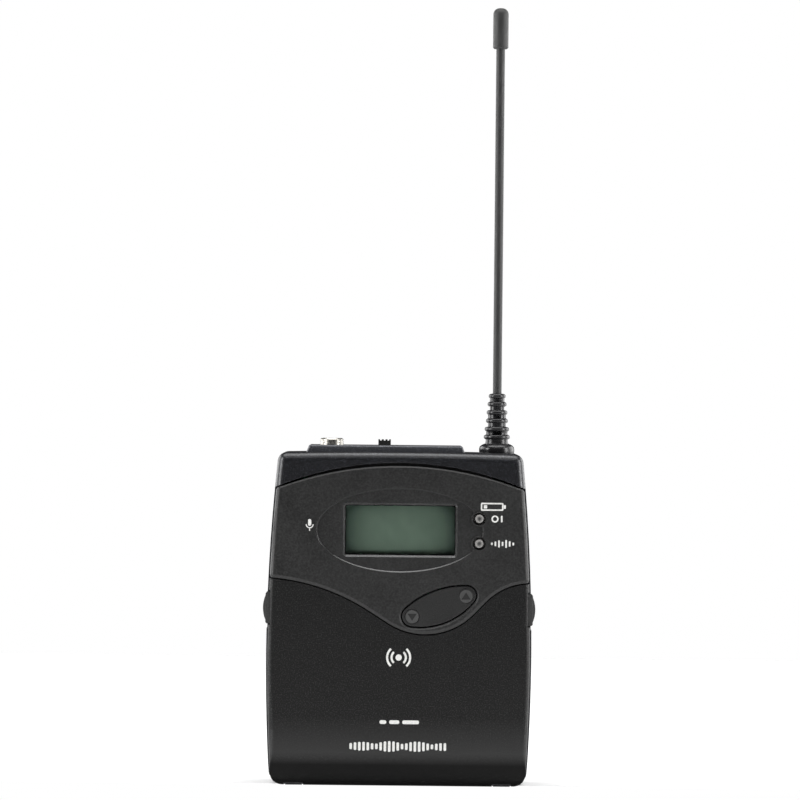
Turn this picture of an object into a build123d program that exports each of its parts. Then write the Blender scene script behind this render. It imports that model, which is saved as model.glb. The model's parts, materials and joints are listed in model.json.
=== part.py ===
from build123d import *
import math
import os

# Wireless bodypack transmitter, in millimetres.
# X runs to the right, -Y to the front and +Z up. The origin is the middle of the
# housing's bottom face, on the plane that the pack stands on.

# ------------------------------------------------------------ driving dimensions
# Housing, seen from the front: barrel sides and a slightly crowned top
body_top = 80.2
body_shoulder = 79.8
half_top = 29.1
half_waist = 31.65
waist_height = 31.0
half_bottom = 30.6
top_corner = 2.3
bottom_corner = 3.6
# Housing, seen from the side
half_depth = 12.0
foot_curve = 8.5
heel_curve = 2.5
crown_front_curve = 1.4
crown_back_curve = 2.0
back_edge_curve = 4.0
rim_edge_curve = 2.1
wall = 1.8
floor_front = -2.6

# Seams in the front
brow_radius = 76.3
brow_centre = 1.3
brow_reach = 31.0
brow_end_gap = 0.35
brow_middle_gap = 0.8
cover_inset = 0.35
cover_edge_curve = 1.25
seam_gap = 0.3
seam_start = (-31.5, 50.0)
seam_heading = -3.0
seam_shoulder_radius = 50.0
seam_shoulder_turn = -29.4
seam_run_down = 5.6
seam_valley_radius = 16.3
seam_valley_turn = 78.4
seam_run_up = 4.0
seam_crest_radius = 15.0
seam_crest_turn = -43.0

# Front panel and display
panel_front = -12.2
panel_back = -10.2
panel_edge_bevel = 0.35
dish_width = 40.0
dish_height = 20.14
dish_depth = 0.35
dish_bevel = 0.3
dish_z = 61.5
window_x = 0.1
window_z = 61.5
window_width = 26.3
window_height = 11.9
window_bevel = 0.5
pane_width = 27.5
pane_height = 13.2
pane_front = -11.2
light_x = 18.9
light_heights = {"power": 64.4, "peak": 58.5}
light_radius = 1.05
light_hole = 1.6
light_ring = 1.85

# Rocker key: two finger discs joined by a bulged capsule
rocker_low = (3.1, 41.0)
rocker_high = (16.1, 46.1)
rocker_low_radius = 2.7
rocker_high_radius = 2.5
rocker_upper_arc = 21.0
rocker_lower_arc = 17.0
rocker_gap = 0.35
finger_disc = 1.65
finger_groove = 0.2
rocker_face = -12.0
rocker_back = -10.8
rocker_pivot_y = -9.2
rocker_pin_radius = 0.6
running_gap = 0.05

# Circuit board
board_front = -5.6
board_back = -4.4
board_low = 36.5
board_side_inset = 4.6
board_top_inset = 3.7
post_radius = 2.0
board_posts = [(-24.0, 68.0), (24.0, 68.0), (-12.0, 39.0), (12.0, 39.0)]
panel_posts = [(-24.7, 47.0), (24.7, 47.0)]
screw_radius = 0.8
screw_hole = 0.85

# Control ledge under the door, with its two buttons
ledge_front = -9.4
ledge_back = -8.2
ledge_half_width = 25.9
ledge_low = 36.3
ledge_high = 51.5
button_x = 21.5
button_z = 40.5
button_radius = 2.2
button_front = -10.1
button_end = -7.4

# Battery bay
cell_radius = 7.25
cell_y = -1.35
cell_heights = {"battery_lower": 11.0, "battery_upper": 26.6}
cell_body = 49.2
cell_nub = 1.3
tray_half_width = 28.3
tray_front = -9.2
tray_back = 7.6
tray_low = 2.2
tray_high = 35.6
tray_bay_half = 27.0
cradle_radius = 7.5
contact_x = 26.4
contact_thick = 0.4

# Battery door and its hinge
door_thick = 1.6
hinge_y = -4.5
hinge_z = 1.7
barrel_radius = 1.7
ear_x = 24.9
ear_width = 4.0
ear_slot = 4.6
ear_slot_front = -7.0
hinge_pin_radius = 0.6
hinge_pin_span = (22.4, 26.9)
barrel_half = 26.9

# Side catches
catch_low = 38.9
catch_high = 46.4
catch_inner = 29.3
catch_outer = 31.9
catch_crest = 32.5
catch_dome = (39.6, 45.8)
catch_window = 30.7
catch_front = -10.2
catch_back = -4.2
catch_notch_low = 37.8
catch_notch_high = 46.65
catch_notch_back = -4.0
catch_z = 42.65

# Top face: connector plate, microphone socket, mute switch and antenna
plate_half_depth = 8.5
plate_top = 81.6
jack_x = -16.6
jack_y = 0.1
jack_bore = 1.8
jack_bore_low = 80.3
jack_relief = 2.3
jack_collar = 2.8
jack_collar_top = 83.2
jack_body_top = 77.1
mute_x = -3.9
mute_half = 1.5
mute_top = 83.0
antenna_x = 23.1
whip_radius = 1.05
whip_core_radius = 0.4
whip_low = 84.0
whip_high = 179.0
whip_core_high = 183.0
tip_low = 177.3
tip_high = 187.1
tip_radius = 1.85
boot_top = 94.3

# Belt clip
wire_radius = 0.9
clip_pivot_y = 8.8
clip_pivot_z = 62.0
clip_foot_x = 27.0
clip_side_x = 29.6
pocket_x = 28.4


# ------------------------------------------------------------------ shared shapes
def block(x, y, z, mode=Mode.ADD):
    """A box between the limits x, y and z, each given as (low, high)."""
    limits = (x, y, z)
    middle = tuple((low + high) / 2 for low, high in limits)
    size = tuple(high - low for low, high in limits)
    with Locations(middle):
        Box(*size, mode=mode)


def rod(start, end, radius, mode=Mode.ADD):
    """A round bar from one point to another."""
    line = Vector(*end) - Vector(*start)
    foot = (Align.CENTER, Align.CENTER, Align.MIN)
    with Locations(Plane(origin=start, z_dir=line).location):
        Cylinder(radius, line.length, align=foot, mode=mode)


def ring(start, end, radius, bore):
    """A round sleeve from one point to another."""
    rod(start, end, radius)
    rod(start, end, bore, mode=Mode.SUBTRACT)


def slab(sketch, front, back):
    """A front-view sketch given thickness, from the depth front to the depth back."""
    with BuildPart() as body:
        with BuildSketch(Plane.XZ.offset(-back)):
            add(sketch)
        extrude(amount=back - front)
    return body.part


def body_outline(side_inset=0.0, edge_inset=0.0):
    """The housing seen from the front, drawn smaller by the two insets."""
    top = body_shoulder - edge_inset
    foot = (half_bottom - side_inset, edge_inset)
    waist = (half_waist - side_inset, waist_height)
    shoulder = (half_top - side_inset, top)
    with BuildSketch() as outline:
        with BuildLine():
            ThreePointArc(foot, waist, shoulder)
            ThreePointArc(shoulder, (0, body_top - edge_inset), (-shoulder[0], top))
            ThreePointArc((-shoulder[0], top), (-waist[0], waist_height), (-foot[0], foot[1]))
            Line((-foot[0], foot[1]), foot)
        make_face()
        fillet(outline.vertices().group_by(Axis.Y)[-1], max(top_corner - side_inset, 0.5))
        fillet(outline.vertices().group_by(Axis.Y)[0], max(bottom_corner - side_inset, 0.5))
    return outline.sketch


def side_profile(inset=0.0):
    """The housing seen from the side, drawn smaller by the inset."""
    front = inset - half_depth
    back = half_depth - inset
    top = body_top - inset
    curves = (foot_curve, heel_curve, crown_back_curve, crown_front_curve)
    with BuildSketch() as profile:
        with BuildLine():
            FilletPolyline(
                (front, inset),
                (back, inset),
                (back, top),
                (front, top),
                radius=[max(curve - inset, 0.3) for curve in curves],
                close=True,
            )
        make_face()
    return profile.sketch


def side_prism(inset=0.0):
    """The side profile drawn out across the whole width."""
    with BuildPart() as prism:
        with BuildSketch(Plane.YZ):
            add(side_profile(inset))
        extrude(amount=half_waist + 5, both=True)
    return prism.part


def body_core(inset=0.0):
    """The solid block that the housing is shaped from, or its cavity."""
    with BuildPart() as core:
        add(slab(body_outline(inset, inset), inset - half_depth, half_depth - inset))
        long_edges = core.edges().filter_by(lambda edge: edge.length > 60 and abs(edge.center().X) > 10)
        back_edges = long_edges.group_by(Axis.Y)[-1]
        front_edges = long_edges.group_by(Axis.Y)[0]
        fillet(back_edges, back_edge_curve - inset)
        if inset == 0.0:
            fillet(front_edges, rim_edge_curve)
        add(side_prism(inset), mode=Mode.INTERSECT)
    return core.part


def under_brow(end_gap=0.0, middle_gap=0.0):
    """The region below the brow's arc, lowered at the ends and in the middle by the two gaps."""
    end_height = brow_centre + math.sqrt(brow_radius**2 - brow_reach**2) - end_gap
    crest = brow_centre + brow_radius - middle_gap
    sag = crest - end_height
    arc_radius = (brow_reach**2 + sag**2) / (2 * sag)
    with BuildSketch() as region:
        Rectangle(80, 200)
        with Locations((0, crest - arc_radius)):
            Circle(arc_radius, mode=Mode.INTERSECT)
    return region.sketch


def cover_outline(end_gap=0.0, middle_gap=0.0):
    """The outline that the front panel and the battery door share, seen from the front."""
    with BuildSketch() as cover:
        add(body_outline(cover_inset))
        add(under_brow(end_gap, middle_gap), mode=Mode.INTERSECT)
    return cover.sketch


def above_seam(drop=0.0):
    """The region above the S-shaped seam between panel and door."""
    start = (seam_start[0], seam_start[1] - drop)
    heading = math.radians(seam_heading)
    reach = 14.0
    left = (start[0] - reach * math.cos(heading), start[1] - reach * math.sin(heading))
    with BuildSketch() as region:
        with BuildLine():
            lead_in = Line(left, start)
            shoulder = JernArc(lead_in @ 1, lead_in % 1, seam_shoulder_radius, seam_shoulder_turn)
            run_down = Line(shoulder @ 1, (shoulder @ 1) + (shoulder % 1) * seam_run_down)
            valley = JernArc(run_down @ 1, run_down % 1, seam_valley_radius, seam_valley_turn)
            run_up = Line(valley @ 1, (valley @ 1) + (valley % 1) * seam_run_up)
            crest = JernArc(run_up @ 1, run_up % 1, seam_crest_radius, seam_crest_turn)
            lead_out = Line(crest @ 1, (crest @ 1) + (crest % 1) * reach)
            Polyline(lead_out @ 1, ((lead_out @ 1).X, 95), (left[0], 95), left)
        make_face()
    return region.sketch


def bulged_capsule(inset=0.0):
    """Two circles joined by a convex arc above and another below, seen from the front."""
    low = Vector(*rocker_low)
    high = Vector(*rocker_high)
    along = (high - low).normalized()
    across = Vector(-along.Y, along.X)
    span = (high - low).length
    joints = {}
    for side, arc in ((1, rocker_upper_arc), (-1, rocker_lower_arc)):
        to_low = arc - rocker_low_radius
        to_high = arc - rocker_high_radius
        shift = (to_low**2 - to_high**2 + span**2) / (2 * span)
        drop = math.sqrt(to_low**2 - shift**2)
        centre = low + along * shift - across * (side * drop)
        start = low + (low - centre).normalized() * (rocker_low_radius - inset)
        end = high + (high - centre).normalized() * (rocker_high_radius - inset)
        crest = centre + across * (side * (arc - inset))
        joints[side] = (start, crest, end)
    with BuildSketch() as capsule:
        with BuildLine():
            upper = ThreePointArc(*joints[1])
            nose = ThreePointArc(upper @ 1, high + along * (rocker_high_radius - inset), joints[-1][2])
            lower = ThreePointArc(nose @ 1, joints[-1][1], joints[-1][0])
            ThreePointArc(lower @ 1, low - along * (rocker_low_radius - inset), upper @ 0)
        make_face()
    return capsule.sketch


def window_frame(width, height, corner=0.4):
    """A rounded rectangle on the display's centre, seen from the front."""
    with BuildSketch() as frame:
        with Locations((window_x, window_z)):
            RectangleRounded(width, height, corner)
    return frame.sketch


def mirrored(part):
    """The same piece on the other side of the pack."""
    with BuildPart() as other:
        add(part)
        mirror(about=Plane.YZ, mode=Mode.REPLACE)
    return other.part


parts = {}


def keep(builder, name):
    """Labels a finished piece and puts it on the list of pieces to write."""
    builder.part.label = name
    parts[name] = builder.part


# ------------------------------------------------------------------------ housing
# A die-cast tub: back, sides, floor, top and the brow above the panel
with BuildPart() as front_recess:
    add(slab(under_brow(), -half_depth - 1, floor_front))
    add(side_prism(wall), mode=Mode.SUBTRACT)

# Bosses inside the back corners for the belt clip's bushings, ending inside the walls
with BuildPart() as clip_bosses:
    for side in (-1, 1):
        boss = sorted((side * 25.4, side * 32))
        block(boss, (4.6, 12), (54.4, 67.6))
    add(body_core(wall / 2), mode=Mode.INTERSECT)

with BuildPart() as rear_housing:
    add(body_core())
    add(body_core(wall), mode=Mode.SUBTRACT)
    add(front_recess.part, mode=Mode.SUBTRACT)
    add(clip_bosses.part)
    # Posts for the board and the panel screws, standing on the back wall
    for post_x, post_z in board_posts + panel_posts:
        rod((post_x, half_depth - 1, post_z), (post_x, board_back, post_z), post_radius)
        rod((post_x, 4, post_z), (post_x, board_back, post_z), screw_hole, mode=Mode.SUBTRACT)
    # Ribs behind the battery tray
    for rib_x in (-18, 18):
        block((rib_x - 0.8, rib_x + 0.8), (tray_back, half_depth - 1), (4, 34))
    # Ears of the door hinge, reaching forward from the floor
    for side in (-1, 1):
        ear = (side * ear_x - ear_width / 2, side * ear_x + ear_width / 2)
        rod((ear[0], hinge_y, hinge_z), (ear[1], hinge_y, hinge_z), barrel_radius)
        block(ear, (hinge_y, floor_front + 0.1), (0, hinge_z))
        ear_start = (ear[0] - 1, hinge_y, hinge_z)
        ear_end = (ear[1] + 1, hinge_y, hinge_z)
        rod(ear_start, ear_end, hinge_pin_radius + running_gap, mode=Mode.SUBTRACT)
    for side in (-1, 1):
        # Open-fronted notches in the sides for the catches
        notch = sorted((side * 26, side * 34))
        block(notch, (-14, catch_notch_back), (catch_notch_low, catch_notch_high), mode=Mode.SUBTRACT)
        # Room in the bottom corners for the ends of the door as it swings
        swing_start, swing_end = [(side * x, hinge_y, hinge_z) for x in (barrel_half, half_waist + 2)]
        rod(swing_start, swing_end, barrel_radius + 0.2, mode=Mode.SUBTRACT)
        # Keepers above the notches
        keeper = sorted((side * 28.9, side * 30.2))
        block(keeper, (-9.8, -8.9), (46.7, 48.2))
        # Pockets in the back corners where the belt clip's feet go in
        pocket = sorted((side * pocket_x, side * 34))
        block(pocket, (6.5, 14), (56, 66), mode=Mode.SUBTRACT)
        bush_start = (side * 26.4, clip_pivot_y, clip_pivot_z)
        bush_end = (side * pocket_x, clip_pivot_y, clip_pivot_z)
        rod(bush_start, bush_end, 2.0, mode=Mode.SUBTRACT)
    # Holes in the top for the microphone socket, the mute slider and the antenna
    rod((jack_x, jack_y, 78), (jack_x, jack_y, 82), jack_collar + running_gap, mode=Mode.SUBTRACT)
    block((mute_x - 3.65, mute_x + 1.65), (-1.7, 1.7), (78, 82), mode=Mode.SUBTRACT)
    rod((antenna_x, 0, 78), (antenna_x, 0, 82), 2.0 + running_gap, mode=Mode.SUBTRACT)
    # Holes in the floor for the charging contacts
    for contact in (-8, 8):
        rod((contact, 6, -1), (contact, 6, 3), 1.5 + running_gap, mode=Mode.SUBTRACT)
keep(rear_housing, "rear_housing")

# Raised plate that carries the connectors on top
with BuildPart() as connector_plate:
    with BuildSketch(Plane.XZ.offset(-plate_half_depth)):
        with BuildLine():
            Polyline((-22.7, 79.6), (15.5, 79.6), (14.7, plate_top), (-21.9, plate_top), close=True)
        make_face()
    extrude(amount=2 * plate_half_depth)
    fillet(connector_plate.edges().filter_by(Axis.Y).group_by(Axis.Z)[-1], 0.5)
    fillet(connector_plate.faces().sort_by(Axis.Z)[-1].edges().filter_by(Axis.X), 0.5)
    add(body_core(), mode=Mode.SUBTRACT)
    rod((jack_x, jack_y, 78), (jack_x, jack_y, 84), jack_collar + running_gap, mode=Mode.SUBTRACT)
    block((mute_x - 3.65, mute_x + 1.65), (-1.7, 1.7), (78, 84), mode=Mode.SUBTRACT)
keep(connector_plate, "connector_plate")

# -------------------------------------------------------------------- front panel
along_rocker = (Vector(*rocker_high) - Vector(*rocker_low)).normalized()
rocker_middle = (Vector(*rocker_high) + Vector(*rocker_low)) * 0.5
pivot_x = rocker_middle.X
pivot_z = rocker_middle.Y
pivot_axis = Vector(-along_rocker.Y, 0, along_rocker.X)
pivot_point = Vector(pivot_x, rocker_pivot_y, pivot_z)

with BuildSketch() as panel_outline:
    add(cover_outline(brow_end_gap, brow_middle_gap))
    add(above_seam(), mode=Mode.INTERSECT)

with BuildSketch() as brow_lip:
    with Locations((0, brow_centre)):
        Circle(brow_radius + 0.6)
        Circle(brow_radius - 2.5, mode=Mode.SUBTRACT)
    with Locations((0, 75)):
        Rectangle(44, 16, mode=Mode.INTERSECT)

with BuildSketch() as brow_lip_root:
    add(brow_lip.sketch)
    add(cover_outline(brow_end_gap + 0.3, brow_middle_gap + 0.3), mode=Mode.INTERSECT)

with BuildPart() as front_panel:
    add(slab(panel_outline.sketch, panel_front, panel_back))
    front_edges = front_panel.faces().sort_by(Axis.Y)[0].edges()
    side_edges = front_edges.filter_by(lambda edge: abs(edge.center().X) > 29 and edge.length > 15)
    fillet(side_edges, cover_edge_curve)
    front_edges = front_panel.faces().sort_by(Axis.Y)[0].edges()
    seam_edges = front_edges.filter_by(lambda edge: abs(edge.center().X) < 29)
    chamfer(seam_edges, panel_edge_bevel)
    # Shallow oval dish round the display
    dish_floor = panel_front + dish_depth
    for depth, inset in ((panel_front, 0), (dish_floor, dish_bevel)):
        with BuildSketch(Plane.XZ.offset(-depth)):
            with Locations((0, dish_z)):
                Ellipse(dish_width / 2 - inset, dish_height / 2 - inset)
    loft(mode=Mode.SUBTRACT)
    # Display opening with its bevel, and the seat of the pane behind it
    add(slab(window_frame(window_width, window_height), panel_front - 1, panel_back + 1), mode=Mode.SUBTRACT)
    window_edges = (
        front_panel.edges()
        .filter_by_position(Axis.Y, dish_floor - 0.01, dish_floor + 0.01)
        .filter_by(lambda edge: edge.length < window_width + 0.1)
        .filter_by(lambda edge: abs(edge.center().X - window_x) < window_width / 2 + 0.1)
        .filter_by(lambda edge: abs(edge.center().Z - window_z) < window_height / 2 + 0.1)
    )
    chamfer(window_edges, window_bevel)
    pane_seat = window_frame(pane_width + 0.2, pane_height + 0.2)
    add(slab(pane_seat, pane_front, panel_back + 1), mode=Mode.SUBTRACT)
    # Rings and holes for the two indicator lights
    for light_z in light_heights.values():
        rod((light_x, panel_back - 0.5, light_z), (light_x, panel_front, light_z), light_ring)
        light_back = (light_x, panel_back + 1, light_z)
        rod(light_back, (light_x, panel_front - 1, light_z), light_hole, mode=Mode.SUBTRACT)
    # Opening of the rocker key, with a bevelled edge
    add(slab(bulged_capsule(), panel_front - 1, panel_back + 1), mode=Mode.SUBTRACT)
    rocker_edges = (
        front_panel.edges()
        .filter_by_position(Axis.Y, panel_front - 0.01, panel_front + 0.01)
        .filter_by(lambda edge: abs(edge.center().X - pivot_x) < 10 and 37.8 < edge.center().Z < 50)
        .filter_by(lambda edge: edge.length < 15)
    )
    chamfer(rocker_edges, 0.4)
    # Lip that hooks behind the brow
    add(slab(brow_lip.sketch, panel_back + 0.1, panel_back + 1))
    add(slab(brow_lip_root.sketch, panel_back - 0.2, panel_back + 1))
    # Tabs under the door's edge that take the panel screws
    for tab_x, tab_z in panel_posts:
        block((tab_x - 2.1, tab_x + 2.3), (panel_back, ledge_front), (45.5, 51.5))
        rod((tab_x, -9, tab_z), (tab_x, -11, tab_z), screw_hole, mode=Mode.SUBTRACT)
        with Locations(Plane(origin=(tab_x, panel_back, tab_z), z_dir=(0, 1, 0)).location):
            Cone(1.5, screw_hole, 0.65, align=(Align.CENTER, Align.CENTER, Align.MIN), mode=Mode.SUBTRACT)
    # Brackets that hold the rocker's pin
    for side in (-1, 1):
        near = pivot_point + pivot_axis * (side * 3.5)
        bracket = Plane(origin=near, x_dir=(0, 1, 0), z_dir=pivot_axis * side)
        with BuildSketch(bracket):
            Circle(1.3)
            with Locations((-0.55, 0)):
                Rectangle(1.1, 2.6)
        extrude(amount=1.3)
        rod(tuple(near), tuple(near + pivot_axis * (side * 1.3)), rocker_pin_radius, mode=Mode.SUBTRACT)
keep(front_panel, "front_panel")

# ---------------------------------------------------------------- display stack
with BuildPart() as display_window:
    add(slab(window_frame(pane_width, pane_height), pane_front, panel_back))
keep(display_window, "display_window")

gasket_back = panel_back + 0.5
with BuildPart() as display_gasket:
    add(slab(window_frame(29.5, 15.2), panel_back, gasket_back))
    add(slab(window_frame(25.9, 11.5), panel_back, gasket_back), mode=Mode.SUBTRACT)
keep(display_gasket, "display_gasket")

glass_front = gasket_back + 0.5
glass_back = glass_front + 1.1
with BuildPart() as display_frame:
    add(slab(window_frame(30, 17), gasket_back, board_front))
    add(slab(window_frame(26.2, 12.2), gasket_back, board_front), mode=Mode.SUBTRACT)
    add(slab(window_frame(28.2, 15.2), glass_front, board_front), mode=Mode.SUBTRACT)
keep(display_frame, "display_frame")

with BuildPart() as display_glass:
    add(slab(window_frame(28, 15), glass_front, glass_back))
keep(display_glass, "display_glass")

with BuildPart() as display_light_guide:
    add(slab(window_frame(28, 15), glass_back, board_front - 0.4))
keep(display_light_guide, "display_light_guide")

# --------------------------------------------------------------- indicator lights
for light_name, light_z in light_heights.items():
    with BuildPart() as light_pipe:
        rod((light_x, board_front - 0.9, light_z), (light_x, -11.6, light_z), light_radius)
        with Locations((light_x, -11.6, light_z)):
            Sphere(light_radius)
        block((light_x - 2, light_x + 2), (-12.9, -12.05), (light_z - 2, light_z + 2), mode=Mode.SUBTRACT)
        rod((light_x, -9.4, light_z), (light_x, panel_back, light_z), light_ring)
    keep(light_pipe, f"{light_name}_light")

with BuildPart() as light_chips:
    for light_z in light_heights.values():
        z_limits = (light_z - 0.5, light_z + 0.5)
        block((light_x - 0.8, light_x + 0.8), (board_front - 0.8, board_front), z_limits)
keep(light_chips, "light_chips")

# ------------------------------------------------------------------ circuit board
with BuildSketch() as board_outline:
    add(body_outline(board_side_inset, board_top_inset))
    with Locations((0, board_low)):
        Rectangle(80, 60, align=(Align.CENTER, Align.MIN), mode=Mode.INTERSECT)
    with Locations(*(board_posts + panel_posts)):
        Circle(screw_hole + 0.05, mode=Mode.SUBTRACT)

with BuildPart() as main_board:
    add(slab(board_outline.sketch, board_front, board_back))
keep(main_board, "main_board")

with BuildPart() as shield_can:
    block((-7, 17), (board_back, board_back + 3.2), (45, 62))
    fillet(shield_can.edges().filter_by(Axis.Y), 1.0)
    fillet(shield_can.faces().sort_by(Axis.Y)[-1].edges(), 0.3)
keep(shield_can, "shield_can")

# Chips as (x, z, width, height, thickness), in front of the board and behind it
front_chips = [(-18, 47.5, 6, 4, 1.0), (-8, 48.5, 5, 5, 1.1), (-19, 59, 3, 5, 0.9), (21, 55, 3, 2, 0.8)]
back_chips = [(-16, 52, 9, 9, 1.2), (-19, 42, 5, 4, 1.0), (8, 67, 8, 5, 1.1), (19, 42, 4, 4, 1.0)]
with BuildPart() as board_chips:
    for chip_x, chip_z, chip_width, chip_height, chip_thick in front_chips:
        x_limits = (chip_x - chip_width / 2, chip_x + chip_width / 2)
        z_limits = (chip_z - chip_height / 2, chip_z + chip_height / 2)
        block(x_limits, (board_front - chip_thick, board_front), z_limits)
    for chip_x, chip_z, chip_width, chip_height, chip_thick in back_chips:
        x_limits = (chip_x - chip_width / 2, chip_x + chip_width / 2)
        z_limits = (chip_z - chip_height / 2, chip_z + chip_height / 2)
        block(x_limits, (board_back, board_back + chip_thick), z_limits)
keep(board_chips, "board_chips")

with BuildPart() as board_connectors:
    block((-3, 3), (board_back, board_back + 3), (37, 40))
    block((-1.8, 1.8), (board_back + 0.6, board_back + 2.4), (36.9, 39), mode=Mode.SUBTRACT)
    block((-9.2, -4.2), (board_front - 1.2, board_front), (37.2, 39.6))
keep(board_connectors, "board_connectors")

# Key switches: a body and a round plunger each, on the front of the board
with BuildPart() as rocker_switches:
    for key_x, key_z in (rocker_low, rocker_high):
        block((key_x - 1.8, key_x + 1.8), (board_front - 1.2, board_front), (key_z - 1.8, key_z + 1.8))
        rod((key_x, board_front - 1, key_z), (key_x, -7.4, key_z), 0.8)
keep(rocker_switches, "rocker_switches")

with BuildPart() as button_switches:
    for key_x in (-button_x, button_x):
        x_limits = (key_x - 1.7, key_x + 1.7)
        block(x_limits, (board_front - 1.0, board_front), (button_z - 1.7, button_z + 1.7))
        rod((key_x, board_front - 0.9, button_z), (key_x, -7.0, button_z), 0.8)
keep(button_switches, "button_switches")

# Pan-head screws that hold the board to its posts
with BuildPart() as board_screws:
    for screw_x, screw_z in board_posts:
        rod((screw_x, 1.6, screw_z), (screw_x, board_front, screw_z), screw_radius)
        rod((screw_x, board_front, screw_z), (screw_x, board_front - 1.1, screw_z), 1.5)
        slot = (board_front - 1.2, board_front - 0.6)
        block((screw_x - 0.8, screw_x + 0.8), slot, (screw_z - 0.2, screw_z + 0.2), mode=Mode.SUBTRACT)
        block((screw_x - 0.2, screw_x + 0.2), slot, (screw_z - 0.8, screw_z + 0.8), mode=Mode.SUBTRACT)
keep(board_screws, "board_screws")

# Countersunk screws through the panel's tabs, the ledge and the board
with BuildPart() as panel_screws:
    for screw_x, screw_z in panel_posts:
        rod((screw_x, 2.0, screw_z), (screw_x, panel_back, screw_z), screw_radius)
        with Locations(Plane(origin=(screw_x, panel_back, screw_z), z_dir=(0, 1, 0)).location):
            Cone(1.45, screw_radius, 0.6, align=(Align.CENTER, Align.CENTER, Align.MIN))
        slot = (panel_back - 0.1, panel_back + 0.4)
        block((screw_x - 0.75, screw_x + 0.75), slot, (screw_z - 0.2, screw_z + 0.2), mode=Mode.SUBTRACT)
        block((screw_x - 0.2, screw_x + 0.2), slot, (screw_z - 0.75, screw_z + 0.75), mode=Mode.SUBTRACT)
keep(panel_screws, "panel_screws")

# -------------------------------------------------------------- microphone socket
with BuildPart() as jack_body:
    block((jack_x - 4, jack_x + 4), (board_back, jack_y + 4.5), (64.5, jack_body_top))
    rod((jack_x, jack_y, 65.6), (jack_x, jack_y, jack_body_top), 2.0, mode=Mode.SUBTRACT)
    chamfer(jack_body.edges().filter_by(Axis.Z).group_by(Axis.Y)[-1], 0.8)
keep(jack_body, "jack_body")

with BuildPart() as jack_bushing:
    # The plug is guided by the bore's upper part, over a slightly wider relief
    ring((jack_x, jack_y, jack_body_top), (jack_x, jack_y, jack_collar_top), jack_collar, jack_bore)
    rod((jack_x, jack_y, jack_body_top), (jack_x, jack_y, jack_bore_low), jack_relief, mode=Mode.SUBTRACT)
    rim_edges = jack_bushing.faces().sort_by(Axis.Z)[-1].edges()
    chamfer(rim_edges.sort_by(SortBy.LENGTH)[-1], 0.35)
    for groove_z in (82.1, 82.5):
        groove_end = (jack_x, jack_y, groove_z + 0.15)
        rod((jack_x, jack_y, groove_z), groove_end, jack_collar + 1, mode=Mode.SUBTRACT)
        ring((jack_x, jack_y, groove_z), (jack_x, jack_y, groove_z + 0.15), jack_collar - 0.2, jack_bore)
keep(jack_bushing, "jack_bushing")

with BuildPart() as jack_nut:
    with BuildSketch(Plane.XY.offset(jack_body_top)):
        with Locations((jack_x, jack_y)):
            RegularPolygon(4.3, 6)
            Circle(jack_collar + running_gap, mode=Mode.SUBTRACT)
    extrude(amount=1.0)
keep(jack_nut, "jack_nut")

with BuildPart() as jack_contacts:
    for foot_z in (66.5, 70.5, 74.5):
        block((jack_x - 5.4, jack_x - 4.0), (board_back, board_back + 0.3), (foot_z - 0.6, foot_z + 0.6))
        block((jack_x + 4.0, jack_x + 5.4), (board_back, board_back + 0.3), (foot_z - 0.6, foot_z + 0.6))
keep(jack_contacts, "jack_contacts")

# -------------------------------------------------------------------- mute switch
with BuildPart() as mute_switch_body:
    block((mute_x - 5.3, mute_x + 3.3), (board_back, 3.0), (73.6, 78.3))
    block((mute_x - 4.7, mute_x + 2.7), (-2.5, 2.5), (76.9, 78.4), mode=Mode.SUBTRACT)
keep(mute_switch_body, "mute_switch_body")

with BuildPart() as mute_slider:
    block((mute_x - mute_half, mute_x + mute_half), (-1.5, 1.5), (77.6, mute_top))
    for rib_x in (-0.9, 0.0, 0.9):
        x_limits = (mute_x + rib_x - 0.2, mute_x + rib_x + 0.2)
        block(x_limits, (-1.6, 1.6), (mute_top - 0.3, mute_top + 0.1), mode=Mode.SUBTRACT)
    block((mute_x - 2.5, mute_x + 2.5), (-2.3, 2.3), (77.0, 78.2))
keep(mute_slider, "mute_slider")

# ------------------------------------------------------------------------ antenna
with BuildPart() as antenna_ferrule:
    rod((antenna_x, 0, 75.6), (antenna_x, 0, whip_low), 2.0)
    rod((antenna_x, 0, 79), (antenna_x, 0, whip_low), whip_core_radius, mode=Mode.SUBTRACT)
keep(antenna_ferrule, "antenna_ferrule")

with BuildPart() as antenna_nut:
    with BuildSketch(Plane.XY.offset(76.6)):
        with Locations((antenna_x, 0)):
            RegularPolygon(3.2, 6)
            Circle(2.0 + running_gap, mode=Mode.SUBTRACT)
    extrude(amount=1.4)
keep(antenna_nut, "antenna_nut")

with BuildPart() as antenna_feed:
    block((antenna_x - 0.9, antenna_x + 0.9), (board_back, 1.5), (75.3, 75.6))
    block((antenna_x - 0.9, antenna_x + 0.9), (board_back, board_back + 0.3), (72.5, 75.6))
keep(antenna_feed, "antenna_feed")

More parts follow.
